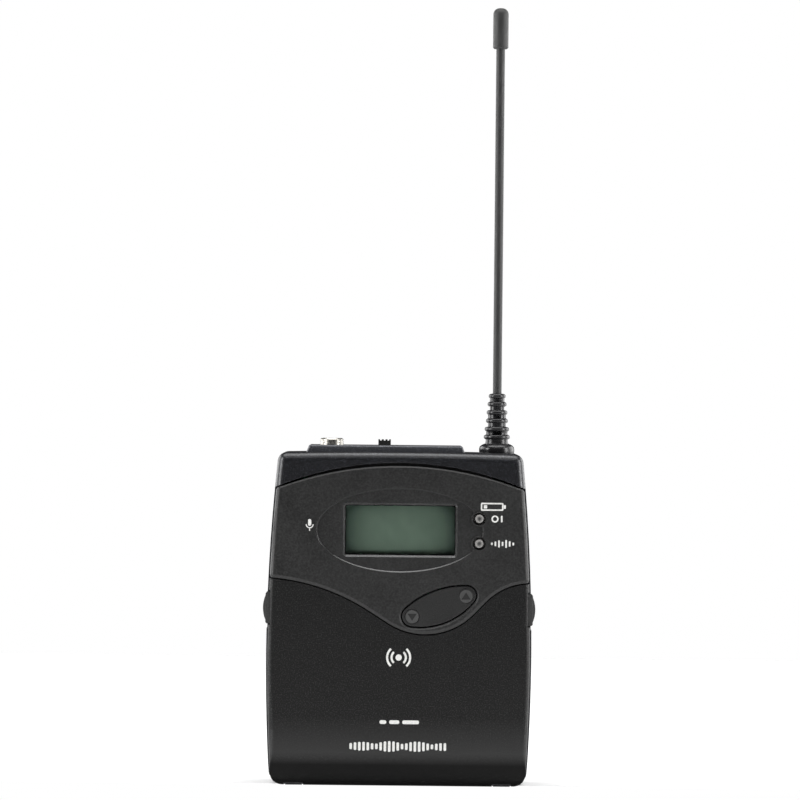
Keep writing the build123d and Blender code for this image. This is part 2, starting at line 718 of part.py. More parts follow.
# Ribbed rubber boot: ribs and grooves shrink towards the top, and a pair of pockets
# is sunk into each groove, turned by a quarter from one groove to the next
rib_heights = [83.8, 85.7, 87.7, 89.7, 91.7, 93.7]
rib_radii = [3.15, 2.95, 2.65, 2.5, 2.3, 2.05]
groove_radii = [2.8, 2.6, 2.4, 2.15, 2.0, 1.8]
rib_half = 0.5
pocket_half = 1.0
pocket_floor = whip_radius + 0.4
with BuildPart() as antenna_boot:
    with BuildSketch(Plane.XZ):
        with BuildLine():
            boot_line = [(0, 79.6), (4.1, 79.6), (4.25, 80.4), (4.25, 81.2), (3.9, 81.8), (2.95, 82.2)]
            for rib_z, rib_radius, groove_radius in zip(rib_heights, rib_radii, groove_radii):
                boot_line += [(groove_radius, rib_z - rib_half - 0.15), (rib_radius, rib_z - rib_half + 0.1)]
                boot_line += [(rib_radius, rib_z + rib_half - 0.1), (groove_radius - 0.2, rib_z + rib_half)]
            boot_line += [(whip_radius + 0.35, boot_top), (0, boot_top)]
            Polyline(*boot_line, close=True)
        make_face()
    revolve(axis=Axis.Z)
boot_shape = Pos(antenna_x, 0, 0) * antenna_boot.part
with BuildPart() as antenna_boot:
    add(boot_shape)
    for count, (low_rib, high_rib) in enumerate(zip(rib_heights[:-1], rib_heights[1:])):
        z_limits = (low_rib + rib_half + 0.1, high_rib - rib_half - 0.1)
        for near, far in ((-5, -pocket_floor), (pocket_floor, 5)):
            if count % 2:
                along_x = (antenna_x + near, antenna_x + far)
                block(along_x, (-pocket_half, pocket_half), z_limits, mode=Mode.SUBTRACT)
            else:
                across_x = (antenna_x - pocket_half, antenna_x + pocket_half)
                block(across_x, (near, far), z_limits, mode=Mode.SUBTRACT)
    rod((antenna_x, 0, 79), (antenna_x, 0, whip_low), 2.0, mode=Mode.SUBTRACT)
    rod((antenna_x, 0, 79), (antenna_x, 0, boot_top + 1), whip_radius, mode=Mode.SUBTRACT)
    add(body_core(), mode=Mode.SUBTRACT)
keep(antenna_boot, "antenna_boot")

with BuildPart() as antenna_whip:
    ring((antenna_x, 0, whip_low), (antenna_x, 0, whip_high), whip_radius, whip_core_radius)
keep(antenna_whip, "antenna_whip")

with BuildPart() as antenna_core:
    rod((antenna_x, 0, 79), (antenna_x, 0, whip_core_high), whip_core_radius)
keep(antenna_core, "antenna_core")

with BuildPart() as antenna_tip:
    rod((antenna_x, 0, tip_low), (antenna_x, 0, tip_high), tip_radius)
    fillet(antenna_tip.edges().group_by(Axis.Z)[-1], 1.5)
    chamfer(antenna_tip.edges().group_by(Axis.Z)[0], 0.3)
    rod((antenna_x, 0, tip_low - 1), (antenna_x, 0, whip_high), whip_radius, mode=Mode.SUBTRACT)
    rod((antenna_x, 0, tip_low), (antenna_x, 0, whip_core_high), whip_core_radius, mode=Mode.SUBTRACT)
keep(antenna_tip, "antenna_tip")

# -------------------------------------------------------------------- battery bay
with BuildPart() as battery_tray:
    block((-tray_half_width, tray_half_width), (tray_front, tray_back), (tray_low, tray_high))
    fillet(battery_tray.edges().filter_by(Axis.Y).group_by(Axis.Z)[0], 2.5)
    fillet(battery_tray.edges().filter_by(Axis.Z).group_by(Axis.Y)[-1], 1.5)
    for cell_z in cell_heights.values():
        bay_start = (-tray_bay_half, cell_y, cell_z)
        rod(bay_start, (tray_bay_half, cell_y, cell_z), cradle_radius, mode=Mode.SUBTRACT)
        mouth = (cell_z - cradle_radius + 0.2, cell_z + cradle_radius - 0.2)
        block((-tray_bay_half, tray_bay_half), (-10, cell_y), mouth, mode=Mode.SUBTRACT)
    add(side_prism(2.6), mode=Mode.INTERSECT)
    # Room for the contacts, and for the door's hinge barrel
    contact_depth = (cell_y - 4.1, cell_y + 4.1)
    block((-contact_x - 0.6, contact_x + 0.6), contact_depth, (5.8, 31.8), mode=Mode.SUBTRACT)
    block((-30, 30), (-14, -2.35), (0, 3.95), mode=Mode.SUBTRACT)
keep(battery_tray, "battery_tray")

# Two round cells in series, lying one above the other and turned end for end
for cell_name, cell_z in cell_heights.items():
    nub_side = 1 if cell_name == "battery_upper" else -1
    can_start = nub_side * (contact_x - cell_nub - cell_body)
    can_end = nub_side * (contact_x - cell_nub)
    with BuildPart() as cell:
        rod((can_start, cell_y, cell_z), (can_end, cell_y, cell_z), cell_radius)
        fillet(cell.edges(), 0.5)
        rod((can_end, cell_y, cell_z), (nub_side * contact_x, cell_y, cell_z), 2.7)
    keep(cell, cell_name)

plate_limits = {name: (height - 5, height + 5) for name, height in cell_heights.items()}
with BuildPart() as contact_plates:
    for z_limits in plate_limits.values():
        block((-contact_x - contact_thick, -contact_x), (cell_y - 4, cell_y + 4), z_limits)
keep(contact_plates, "contact_plates")

with BuildPart() as link_contact:
    z_limits = (plate_limits["battery_lower"][0], plate_limits["battery_upper"][1])
    block((contact_x, contact_x + contact_thick), (cell_y - 4, cell_y + 4), z_limits)
    block((contact_x, contact_x + contact_thick), (cell_y - 6, cell_y + 2), (16.8, 20.8), mode=Mode.SUBTRACT)
keep(link_contact, "link_contact")

# Coil springs that press on each cell's flat end
spring_length = 2 * contact_x - cell_nub - cell_body
with BuildPart() as contact_springs:
    for cell_name, side in (("battery_upper", -1), ("battery_lower", 1)):
        spring_start = Vector(side * contact_x, cell_y, cell_heights[cell_name])
        for turn in range(3):
            turn_x = side * (contact_x - 0.3 - turn * (spring_length - 0.6) / 2)
            with Locations(Plane(origin=(turn_x, cell_y, cell_heights[cell_name]), z_dir=(1, 0, 0)).location):
                Torus(3.6 - 0.7 * turn, 0.28)
        strut_start = (side * contact_x, cell_y, spring_start.Z + 3.6)
        strut_end = (side * (contact_x - spring_length + 0.3), cell_y, spring_start.Z + 2.2)
        rod(strut_start, strut_end, 0.25)
keep(contact_springs, "contact_springs")

with BuildPart() as battery_leads:
    for lead_x in (-20, -17.5):
        rod((lead_x, 3, tray_high), (lead_x, 3, 37.5), 0.5)
        rod((lead_x, 3.2, 37.2), (lead_x, board_back + 0.6, 37.2), 0.5)
keep(battery_leads, "battery_leads")

with BuildPart() as charging_contacts:
    for contact in (-8, 8):
        rod((contact, 6, 0.1), (contact, 6, 2.0), 1.5)
keep(charging_contacts, "charging_contacts")

# ------------------------------------------------------------------ control ledge
with BuildPart() as control_ledge:
    block((-ledge_half_width, ledge_half_width), (ledge_front, ledge_back), (ledge_low, ledge_high))
    fillet(control_ledge.edges().filter_by(Axis.Y), 1.0)
    block((-1, 20.2), (-10, -8), (38.4, 50), mode=Mode.SUBTRACT)
    for boss_x, boss_z in panel_posts:
        rod((boss_x, ledge_back - 0.5, boss_z), (boss_x, board_front, boss_z), 1.9)
        rod((boss_x, -10, boss_z), (boss_x, board_front, boss_z), screw_hole, mode=Mode.SUBTRACT)
    for hole_x in (-button_x, button_x):
        rod((hole_x, -10, button_z), (hole_x, -8, button_z), button_radius + 0.08, mode=Mode.SUBTRACT)
keep(control_ledge, "control_ledge")

for button_name, button_side in (("on_button", -1), ("set_button", 1)):
    button_centre = button_side * button_x
    with BuildPart() as button:
        rod((button_centre, -8.4, button_z), (button_centre, button_front, button_z), button_radius)
        fillet(button.edges().group_by(Axis.Y)[0], 0.35)
        rod((button_centre, -7.7, button_z), (button_centre, ledge_back + 0.1, button_z), 2.8)
        rod((button_centre, button_end, button_z), (button_centre, -9, button_z), 1.0)
        rod((button_centre, ledge_back + 0.1, button_z), (button_centre, -9, button_z), button_radius)
    keep(button, button_name)

# --------------------------------------------------------------------- rocker key
with BuildPart() as rocker:
    add(slab(bulged_capsule(rocker_gap), rocker_face, rocker_back))
    fillet(rocker.faces().sort_by(Axis.Y)[0].edges(), 0.2)
    # Shallow finger dishes with a raised disc at each end
    for disc_x, disc_z in (rocker_low, rocker_high):
        disc_back = (disc_x, rocker_face + finger_groove, disc_z)
        groove_rim = finger_disc + finger_groove
        rod(disc_back, (disc_x, rocker_face - 1, disc_z), groove_rim, mode=Mode.SUBTRACT)
        rod((disc_x, rocker_back, disc_z), (disc_x, rocker_face, disc_z), finger_disc)
        rod((disc_x, rocker_back - 0.2, disc_z), (disc_x, -7.9, disc_z), 1.0)
    # Barrel that turns on the pin
    barrel_start = pivot_point - pivot_axis * 2.6
    with BuildSketch(Plane(origin=barrel_start, x_dir=(0, 1, 0), z_dir=pivot_axis)):
        Circle(1.3)
        with Locations((-0.9, 0)):
            Rectangle(1.8, 2.6)
    extrude(amount=5.2)
    barrel_bore = rocker_pin_radius + running_gap
    bore_reach = pivot_axis * 4
    rod(tuple(pivot_point - bore_reach), tuple(pivot_point + bore_reach), barrel_bore, mode=Mode.SUBTRACT)
keep(rocker, "rocker")

with BuildPart() as rocker_pin:
    rod(tuple(pivot_point - pivot_axis * 4.8), tuple(pivot_point + pivot_axis * 4.8), rocker_pin_radius)
keep(rocker_pin, "rocker_pin")

# Rubber seals behind the opening, one at each end, that keep dust out
with BuildPart() as rocker_seals:
    add(slab(bulged_capsule(-0.9), panel_back + 0.05, panel_back + 0.45))
    for disc_x, disc_z in (rocker_low, rocker_high):
        rod((disc_x, -11, disc_z), (disc_x, -9, disc_z), 1.35, mode=Mode.SUBTRACT)
    hole_start = pivot_point - pivot_axis * 5.2
    with BuildSketch(Plane(origin=hole_start, x_dir=(0, 1, 0), z_dir=pivot_axis)):
        Rectangle(6, 3.6)
    extrude(amount=10.4, mode=Mode.SUBTRACT)
keep(rocker_seals, "rocker_seals")

# ------------------------------------------------------------------- battery door
with BuildSketch() as door_outline:
    add(cover_outline())
    add(above_seam(seam_gap), mode=Mode.SUBTRACT)

with BuildPart() as battery_door:
    add(slab(door_outline.sketch, -half_depth, hinge_y))
    front_edges = battery_door.faces().sort_by(Axis.Y)[0].edges()
    side_edges = front_edges.filter_by(lambda edge: abs(edge.center().X) > 29 and edge.length > 20)
    fillet(side_edges, cover_edge_curve)
    add(side_prism(), mode=Mode.INTERSECT)
    add(side_prism(door_thick), mode=Mode.SUBTRACT)
    rod((-barrel_half, hinge_y, hinge_z), (barrel_half, hinge_y, hinge_z), barrel_radius)
    for side in (-1, 1):
        slot_limits = (side * ear_x - ear_slot / 2, side * ear_x + ear_slot / 2)
        block(slot_limits, (ear_slot_front, -2), (-1, 4), mode=Mode.SUBTRACT)
        pin_start, pin_end = [(side * x, hinge_y, hinge_z) for x in hinge_pin_span]
        rod(pin_start, pin_end, hinge_pin_radius, mode=Mode.SUBTRACT)
        # Notches in the edges that let the catches show
        notch = sorted((side * catch_window, side * 34))
        block(notch, (-14, -8), (catch_low - 0.3, catch_high + 0.5), mode=Mode.SUBTRACT)
keep(battery_door, "battery_door")

with BuildPart() as hinge_pins:
    for side in (-1, 1):
        pin_start, pin_end = [(side * x, hinge_y, hinge_z) for x in hinge_pin_span]
        rod(pin_start, pin_end, hinge_pin_radius)
keep(hinge_pins, "hinge_pins")

door_inside = -half_depth + door_thick
with BuildPart() as door_liner:
    for side in (-1, 1):
        guide = sorted((side * 26.4, side * 28.1))
        block(guide, (door_inside, -8.8), (39.6, 45.2))
        block(guide, (door_inside + 0.05, -9.4), (41.1, 44.1), mode=Mode.SUBTRACT)
        backing = sorted((side * 27.5, side * 28.1))
        block(backing, (-8.8, -5.2), (39.6, 45.2))
    # Stiffening rib below the catches
    block((-27, 27), (door_inside, -9.6), (35.8, 36.2))
    for side in (-1, 1):
        leg = sorted((side * 26.4, side * 27.0))
        block(leg, (door_inside, -9.6), (35.8, 39.8))
keep(door_liner, "door_liner")

with BuildPart() as battery_pad:
    block((-22, 22), (door_inside, tray_front - 0.1), (9.5, 31))
keep(battery_pad, "battery_pad")

# ------------------------------------------------------------------- side catches
with BuildPart() as right_catch:
    block((catch_inner, catch_outer), (catch_front, catch_back), (catch_low, catch_high))
    fillet(right_catch.edges().filter_by(Axis.Y).group_by(Axis.X)[-1], 0.5)
    # Domed finger pad with grooves
    with BuildSketch(Plane.XZ.offset(-catch_back + 0.5)):
        with BuildLine():
            pad_arc = ThreePointArc(
                (catch_outer - 0.05, catch_dome[0]),
                (catch_crest, catch_z),
                (catch_outer - 0.05, catch_dome[1]),
            )
            Line(pad_arc @ 1, pad_arc @ 0)
        make_face()
    extrude(amount=catch_back - catch_front - 1)
    for groove_z in (-1.6, 0.0, 1.6):
        groove = (catch_z + groove_z - 0.25, catch_z + groove_z + 0.25)
        block((catch_crest - 0.35, catch_crest + 1), (-9.2, -5.2), groove, mode=Mode.SUBTRACT)
    # Tongue and head that keep the catch in the door's guide
    block((25.2, catch_inner + 0.1), (-10.3, -9.5), (41.2, 44.0))
    block((25.2, 26.1), (-10.3, -9.5), (40.4, 44.8))
    # Arm and hook nose beside the housing's keeper
    block((28.3, catch_inner + 0.2), (-8.6, -7.4), (45.4, 46.2))
    block((28.3, 28.8), (-8.6, -7.4), (46.0, 47.8))
keep(right_catch, "catch_right")

with BuildPart() as left_catch:
    add(mirrored(right_catch.part))
keep(left_catch, "catch_left")

# Bowed leaf springs between the catches and the door liner
with BuildSketch(Plane.XY.offset(catch_z)) as leaf_shape:
    with BuildLine():
        outer_leaf = ThreePointArc((28.15, -8.4), (29.25, -7.0), (28.15, -5.6))
        inner_leaf = ThreePointArc((28.15, -5.85), (29.05, -7.0), (28.15, -8.15))
        Line(outer_leaf @ 1, inner_leaf @ 0)
        Line(inner_leaf @ 1, outer_leaf @ 0)
    make_face()

with BuildPart() as catch_spring_right:
    add(leaf_shape.sketch)
    extrude(amount=1.4, both=True)
keep(catch_spring_right, "catch_spring_right")

with BuildPart() as catch_spring_left:
    add(mirrored(catch_spring_right.part))
keep(catch_spring_left, "catch_spring_left")

# ---------------------------------------------------------------------- belt clip
# A bent spring-wire frame, its feet turned in to pivot in the housing's sides
right_wire = [
    (clip_foot_x, clip_pivot_y, clip_pivot_z),
    (clip_side_x, clip_pivot_y, clip_pivot_z),
    (clip_side_x, 15.0, 59.0),
    (24.0, 14.4, 40.0),
    (12.0, 13.1, 22.0),
    (8.0, 14.6, 16.5),
]
left_wire = [(-x, y, z) for x, y, z in reversed(right_wire)]
bend_radii = [1.6, 3.0, 12.0, 8.0, 3.0]
with BuildPart() as belt_clip:
    with BuildLine() as clip_path:
        FilletPolyline(*(right_wire + left_wire), radius=bend_radii + list(reversed(bend_radii)))
    with BuildSketch(Plane(origin=right_wire[0], z_dir=(1, 0, 0))):
        Circle(wire_radius)
    sweep(path=clip_path.line)
keep(belt_clip, "belt_clip")

with BuildPart() as clip_bushings:
    for side in (-1, 1):
        bush_start = (side * 26.4, clip_pivot_y, clip_pivot_z)
        bush_end = (side * pocket_x, clip_pivot_y, clip_pivot_z)
        rod(bush_start, bush_end, 2.0)
        bush_start = (side * 26.8, clip_pivot_y, clip_pivot_z)
        rod(bush_start, bush_end, wire_radius + running_gap, mode=Mode.SUBTRACT)
keep(clip_bushings, "clip_bushings")

# Blank rating plate on the back
with BuildPart() as rear_label:
    block((-17, 17), (half_depth, half_depth + 0.25), (45, 67))
    fillet(rear_label.edges().filter_by(Axis.Y), 1.5)
keep(rear_label, "rear_label")

os.makedirs("parts", exist_ok=True)
for part_name, part in parts.items():
    export_step(part, f"parts/{part_name}.step")
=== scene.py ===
import json
import math

import bmesh
import bpy
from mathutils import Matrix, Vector


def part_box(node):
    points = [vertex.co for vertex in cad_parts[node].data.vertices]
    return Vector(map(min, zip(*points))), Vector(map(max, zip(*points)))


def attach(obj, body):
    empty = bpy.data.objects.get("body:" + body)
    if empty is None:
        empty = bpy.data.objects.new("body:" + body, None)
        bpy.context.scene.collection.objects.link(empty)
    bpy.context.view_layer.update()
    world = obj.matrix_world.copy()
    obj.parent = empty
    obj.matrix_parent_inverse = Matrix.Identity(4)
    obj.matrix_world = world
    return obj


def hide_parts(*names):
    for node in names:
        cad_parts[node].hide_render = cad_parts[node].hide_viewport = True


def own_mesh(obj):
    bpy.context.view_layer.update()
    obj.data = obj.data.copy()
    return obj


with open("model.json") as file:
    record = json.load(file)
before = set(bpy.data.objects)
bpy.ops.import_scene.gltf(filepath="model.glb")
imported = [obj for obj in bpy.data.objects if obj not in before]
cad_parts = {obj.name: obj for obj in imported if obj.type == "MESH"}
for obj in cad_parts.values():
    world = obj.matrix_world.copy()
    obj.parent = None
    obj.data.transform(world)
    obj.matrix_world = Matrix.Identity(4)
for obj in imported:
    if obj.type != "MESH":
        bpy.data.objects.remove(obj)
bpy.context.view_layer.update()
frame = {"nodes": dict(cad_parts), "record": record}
nodes = frame["nodes"]

MM = 0.001

# ------------------------------------------------------------- driving dimensions
# Camera: level, a metre from the front face, with a long lens and a slight roll
CAMERA_DISTANCE = 1000 * MM
CAMERA_AIM_X = -0.3 * MM
CAMERA_AIM_Z = 92.5 * MM
CAMERA_ROLL = -0.58
FRAME_WIDTH = 190.4 * MM
SENSOR = 36.0

# The floor has a step: the part stands on the upper level, and its door opens over the lower one
STEP_EDGE = -1.5 * MM
STEP_HEIGHT = 17 * MM
FLOOR_HALF = 600 * MM
FLOOR_FRONT = -320 * MM
FLOOR_BACK = 500 * MM

# Printing: ink stands this far proud of the surface, and is set this far into it
INK_PROUD = 0.03 * MM
INK_DEPTH = 0.02 * MM

# Where the main faces are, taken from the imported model
PANEL_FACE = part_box("front_panel")[0].y
DOOR_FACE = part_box("battery_door")[0].y

# The shallow oval dish in the panel, and the display opening in its floor
DISH_HALF_WIDTH = 20.0 * MM
DISH_HALF_HEIGHT = 10.07 * MM
DISH_DEPTH = 0.35 * MM
DISPLAY_X = 0.1 * MM
DISPLAY_Z = 61.5 * MM
DISPLAY_WIDTH = 26.3 * MM
DISPLAY_HEIGHT = 11.9 * MM
DISPLAY_CORNER = 0.4 * MM


# ------------------------------------------------------------------ shader helpers
class Shader:
    """A material's node tree, with short ways to add the nodes that this scene needs."""

    def __init__(self, name):
        self.material = bpy.data.materials.new(name)
        self.material.use_nodes = True
        self.tree = self.material.node_tree
        self.surface = self.tree.nodes["Principled BSDF"]
        self.output = self.tree.nodes["Material Output"]
        self.place = self.add("ShaderNodeTexCoord").outputs["Object"]
        self.rounded = None

    def add(self, kind, **values):
        node = self.tree.nodes.new(kind)
        for key, value in values.items():
            setattr(node, key, value)
        return node

    def link(self, source, target):
        self.tree.links.new(source, target)

    def set(self, **values):
        """Sets inputs of the main shader, such as Base_Color or Roughness."""
        for key, value in values.items():
            self.surface.inputs[key.replace("_", " ")].default_value = value

    def noise(self, size, detail=2.0, roughness=0.5):
        """Noise whose features are about size metres across, from 0 to 1."""
        node = self.add("ShaderNodeTexNoise")
        node.inputs["Scale"].default_value = 1.0 / size
        node.inputs["Detail"].default_value = detail
        node.inputs["Roughness"].default_value = roughness
        self.link(self.place, node.inputs["Vector"])
        return node.outputs["Fac"]

    def cells(self, size):
        """A random grey for each cell of about size metres."""
        node = self.add("ShaderNodeTexVoronoi")
        node.inputs["Scale"].default_value = 1.0 / size
        self.link(self.place, node.inputs["Vector"])
        grey = self.add("ShaderNodeRGBToBW")
        self.link(node.outputs["Color"], grey.inputs["Color"])
        return grey.outputs["Val"]

    def spread(self, value, low, high, from_low=0.0, from_high=1.0):
        """Maps a value from one range to another, held at the ends."""
        node = self.add("ShaderNodeMapRange")
        self.link(value, node.inputs["Value"])
        node.inputs["From Min"].default_value = from_low
        node.inputs["From Max"].default_value = from_high
        node.inputs["To Min"].default_value = low
        node.inputs["To Max"].default_value = high
        return node.outputs["Result"]

    def math(self, operation, first, second=0.0):
        node = self.add("ShaderNodeMath", operation=operation)
        for socket, value in zip(node.inputs, (first, second)):
            if isinstance(value, (int, float)):
                socket.default_value = value
            else:
                self.link(value, socket)
        return node.outputs["Value"]

    def mix(self, factor, first, second):
        """Blends two colours by a factor; each is a colour or another node's output."""
        node = self.add("ShaderNodeMix", data_type="RGBA")
        for socket, value in ((node.inputs[0], factor), (node.inputs[6], first), (node.inputs[7], second)):
            if isinstance(value, bpy.types.NodeSocket):
                self.link(value, socket)
            elif isinstance(value, tuple):
                socket.default_value = (*value, 1.0)
            else:
                socket.default_value = value
        return node.outputs[2]

    def axis(self, name):
        """One coordinate of the point, in metres in the part's frame."""
        node = self.add("ShaderNodeSeparateXYZ")
        self.link(self.place, node.inputs["Vector"])
        return node.outputs[name]

    def colour(self, source):
        self.link(source, self.surface.inputs["Base Color"])

    def roughness(self, source):
        self.link(source, self.surface.inputs["Roughness"])

    def edges(self, radius):
        """1 on sharp edges and 0 on flat faces, with the rounded normal used for the surface."""
        bevel = self.add("ShaderNodeBevel", samples=4)
        bevel.inputs["Radius"].default_value = radius
        geometry = self.add("ShaderNodeNewGeometry")
        facing = self.add("ShaderNodeVectorMath", operation="DOT_PRODUCT")
        self.link(bevel.outputs["Normal"], facing.inputs[0])
        self.link(geometry.outputs["Normal"], facing.inputs[1])
        self.rounded = bevel.outputs["Normal"]
        return self.spread(facing.outputs["Value"], 1.0, 0.0, 0.7, 0.99)

    def bump(self, height, depth):
        """Raises the surface by up to depth metres where height is 1."""
        node = self.add("ShaderNodeBump")
        node.inputs["Strength"].default_value = 1.0
        node.inputs["Distance"].default_value = depth
        self.link(height, node.inputs["Height"])
        if self.rounded:
            self.link(self.rounded, node.inputs["Normal"])
        self.link(node.outputs["Normal"], self.surface.inputs["Normal"])


# ----------------------------------------------------------------------- materials
def moulded(name, colour, worn, roughness, grain, depth, shine=0.5, edge=0.12 * MM):
    """Moulded plastic: a fine grained skin, uneven gloss, and edges worn smoother and lighter in colour,
    partly from wear and partly as a painted highlight.
    """
    shader = Shader(name)
    cloud = shader.noise(9 * MM, detail=3)
    fine = shader.noise(grain, detail=3, roughness=0.6)
    edge_wear_and_highlight = shader.edges(edge)
    darker = tuple(channel * 0.8 for channel in colour)
    body = shader.mix(shader.spread(cloud, 0.0, 1.0, 0.3, 0.7), darker, colour)
    grained = shader.mix(shader.spread(fine, 0.0, 0.45, 0.38, 0.7), body, worn)
    # Sharp edges are coloured lighter: part wear, part painted highlight.
    shader.colour(shader.mix(shader.math("MULTIPLY", edge_wear_and_highlight, 0.55), grained, worn))
    uneven = shader.spread(cloud, roughness - 0.05, roughness + 0.05, 0.3, 0.7)
    shader.roughness(shader.math("SUBTRACT", uneven, shader.math("MULTIPLY", edge_wear_and_highlight, 0.12)))
    shader.bump(fine, depth)
    shader.set(Specular_IOR_Level=shine)
    return shader.material


def flake_paint(name, colour, flake, roughness, worn):
    """Blue-black paint with fine metal flakes over a slightly uneven coat."""
    shader = Shader(name)
    flakes = shader.cells(0.22 * MM)
    fine = shader.noise(0.35 * MM, detail=2)
    edge_wear_and_highlight = shader.edges(0.15 * MM)
    speckled = shader.mix(shader.spread(flakes, 0.0, 1.0, 0.62, 0.95), colour, flake)
    # Sharp edges are coloured lighter: part wear, part painted highlight.
    shader.colour(shader.mix(shader.math("MULTIPLY", edge_wear_and_highlight, 0.5), speckled, worn))
    shader.roughness(shader.spread(flakes, roughness, roughness - 0.14, 0.6, 0.9))
    shader.bump(fine, 0.025 * MM)
    shader.set(Metallic=0.3, Coat_Weight=0.3, Coat_Roughness=0.25)
    return shader.material


def speckle_paint(name, colour, speck, roughness):
    """Near-black paint with a fine speckle texture, whose specks catch the light. Its edges are lighter,
    partly from wear and partly as a painted highlight. A lighter band where the face turns under is a painted
    highlight, and the black foot below it, without specks and with less gloss, is painted shade.
    """
    shader = Shader(name)
    specks = shader.noise(0.3 * MM, detail=3, roughness=0.6)
    cloud = shader.noise(14 * MM, detail=2)
    edge_wear_and_highlight = shader.edges(0.15 * MM)
    dim = tuple(channel * 0.8 for channel in colour)
    base = shader.mix(shader.spread(cloud, 0.0, 1.0, 0.35, 0.65), dim, colour)
    height = shader.axis("Z")
    # Painted shade: below 5.5 mm the specks fade out and the gloss drops, so the foot reads near-black.
    above_painted_dark_foot = shader.spread(height, 0.0, 1.0, 5.5 * MM, 8.5 * MM)
    # Painted highlight: a lighter band that rises from 5.5 mm, is strongest at 8.5 mm and fades out by 17 mm,
    # where the face turns under.
    highlight_band_fade = shader.spread(height, 1.0, 0.0, 8.5 * MM, 17 * MM)
    painted_highlight_band = shader.math("MULTIPLY", above_painted_dark_foot, shader.math("MULTIPLY", highlight_band_fade, 0.85))
    dots = shader.math("MULTIPLY", shader.spread(specks, 0.0, 1.0, 0.5, 0.68), above_painted_dark_foot)
    dotted = shader.mix(dots, base, speck)
    # Lighter colour on sharp edges (part wear, part painted highlight) and in the painted highlight band.
    worn = shader.math("MAXIMUM", shader.math("MULTIPLY", edge_wear_and_highlight, 0.5), painted_highlight_band)
    shader.colour(shader.mix(worn, dotted, speck))
    smooth = shader.spread(specks, roughness + 0.08, roughness - 0.1, 0.4, 0.7)
    shader.roughness(smooth)
    shader.link(shader.spread(above_painted_dark_foot, 0.12, 0.28), shader.surface.inputs["Specular IOR Level"])
    shader.bump(specks, 0.055 * MM)
    return shader.material


def metal(name, colour, roughness, grain=0.08 * MM, stretch=(1.0, 1.0, 1.0), depth=0.004 * MM):
    """Bare or plated metal with fine tool marks and a little tarnish."""
    shader = Shader(name)
    mapping = shader.add("ShaderNodeMapping")
    mapping.inputs["Scale"].default_value = stretch
    shader.link(shader.place, mapping.inputs["Vector"])
    shader.place = mapping.outputs["Vector"]
    marks = shader.noise(grain, detail=3)
    tarnish = shader.noise(2.5 * MM, detail=3)
    shader.edges(0.08 * MM)
    dull = tuple(channel * 0.72 for channel in colour)
    shader.colour(shader.mix(shader.spread(tarnish, 0.0, 1.0, 0.45, 0.75), colour, dull))
    shader.roughness(shader.spread(marks, roughness, roughness + 0.12, 0.3, 0.8))
    shader.bump(marks, depth)
    shader.set(Metallic=1.0)
    return shader.material


def rubber(name, colour, roughness, depth):
    """Rubber or soft coating: smooth, with faint dust and ripples."""
    shader = Shader(name)
    ripple = shader.noise(0.7 * MM, detail=3)
    dust = shader.noise(2.2 * MM, detail=4)
    shader.edges(0.1 * MM)
    dusty = tuple(channel * 1.9 + 0.004 for channel in colour)
    shader.colour(shader.mix(shader.spread(dust, 0.0, 0.5, 0.5, 0.8), colour, dusty))
    shader.roughness(shader.spread(dust, roughness, roughness + 0.15, 0.35, 0.8))
    shader.bump(ripple, depth)
    return shader.material


def foam(name, colour):
    """Closed-cell foam: small round pores."""
    shader = Shader(name)
    pores = shader.add("ShaderNodeTexVoronoi")
    pores.inputs["Scale"].default_value = 1.0 / (0.6 * MM)
    shader.link(shader.place, pores.inputs["Vector"])
    depth = shader.spread(pores.outputs["Distance"], 0.0, 1.0, 0.0, 0.6)
    # Painted shade: the pores are coloured darker, for the shade that falls in them.
    pore_shade = tuple(channel * 0.4 for channel in colour)
    shader.colour(shader.mix(depth, pore_shade, colour))
    shader.bump(depth, 0.15 * MM)
    shader.set(Roughness=0.95, Sheen_Weight=0.2)
    return shader.material


def clear_window(name):
    """A clear pane: it lets the display show, with a soft gloss and a few faint marks."""
    shader = Shader(name)
    smears = shader.noise(5 * MM, detail=3)
    shader.tree.nodes.remove(shader.surface)
    see_through = shader.add("ShaderNodeBsdfTransparent")
    see_through.inputs["Color"].default_value = (0.9, 0.93, 0.91, 1.0)
    gloss = shader.add("ShaderNodeBsdfGlossy")
    shader.link(shader.spread(smears, 0.04, 0.12, 0.4, 0.7), gloss.inputs["Roughness"])
    fresnel = shader.add("ShaderNodeFresnel")
    fresnel.inputs["IOR"].default_value = 1.45
    both = shader.add("ShaderNodeMixShader")
    shader.link(fresnel.outputs["Fac"], both.inputs["Fac"])
    shader.link(see_through.outputs["BSDF"], both.inputs[1])
    shader.link(gloss.outputs["BSDF"], both.inputs[2])
    shader.link(both.outputs["Shader"], shader.output.inputs["Surface"])
    return shader.material


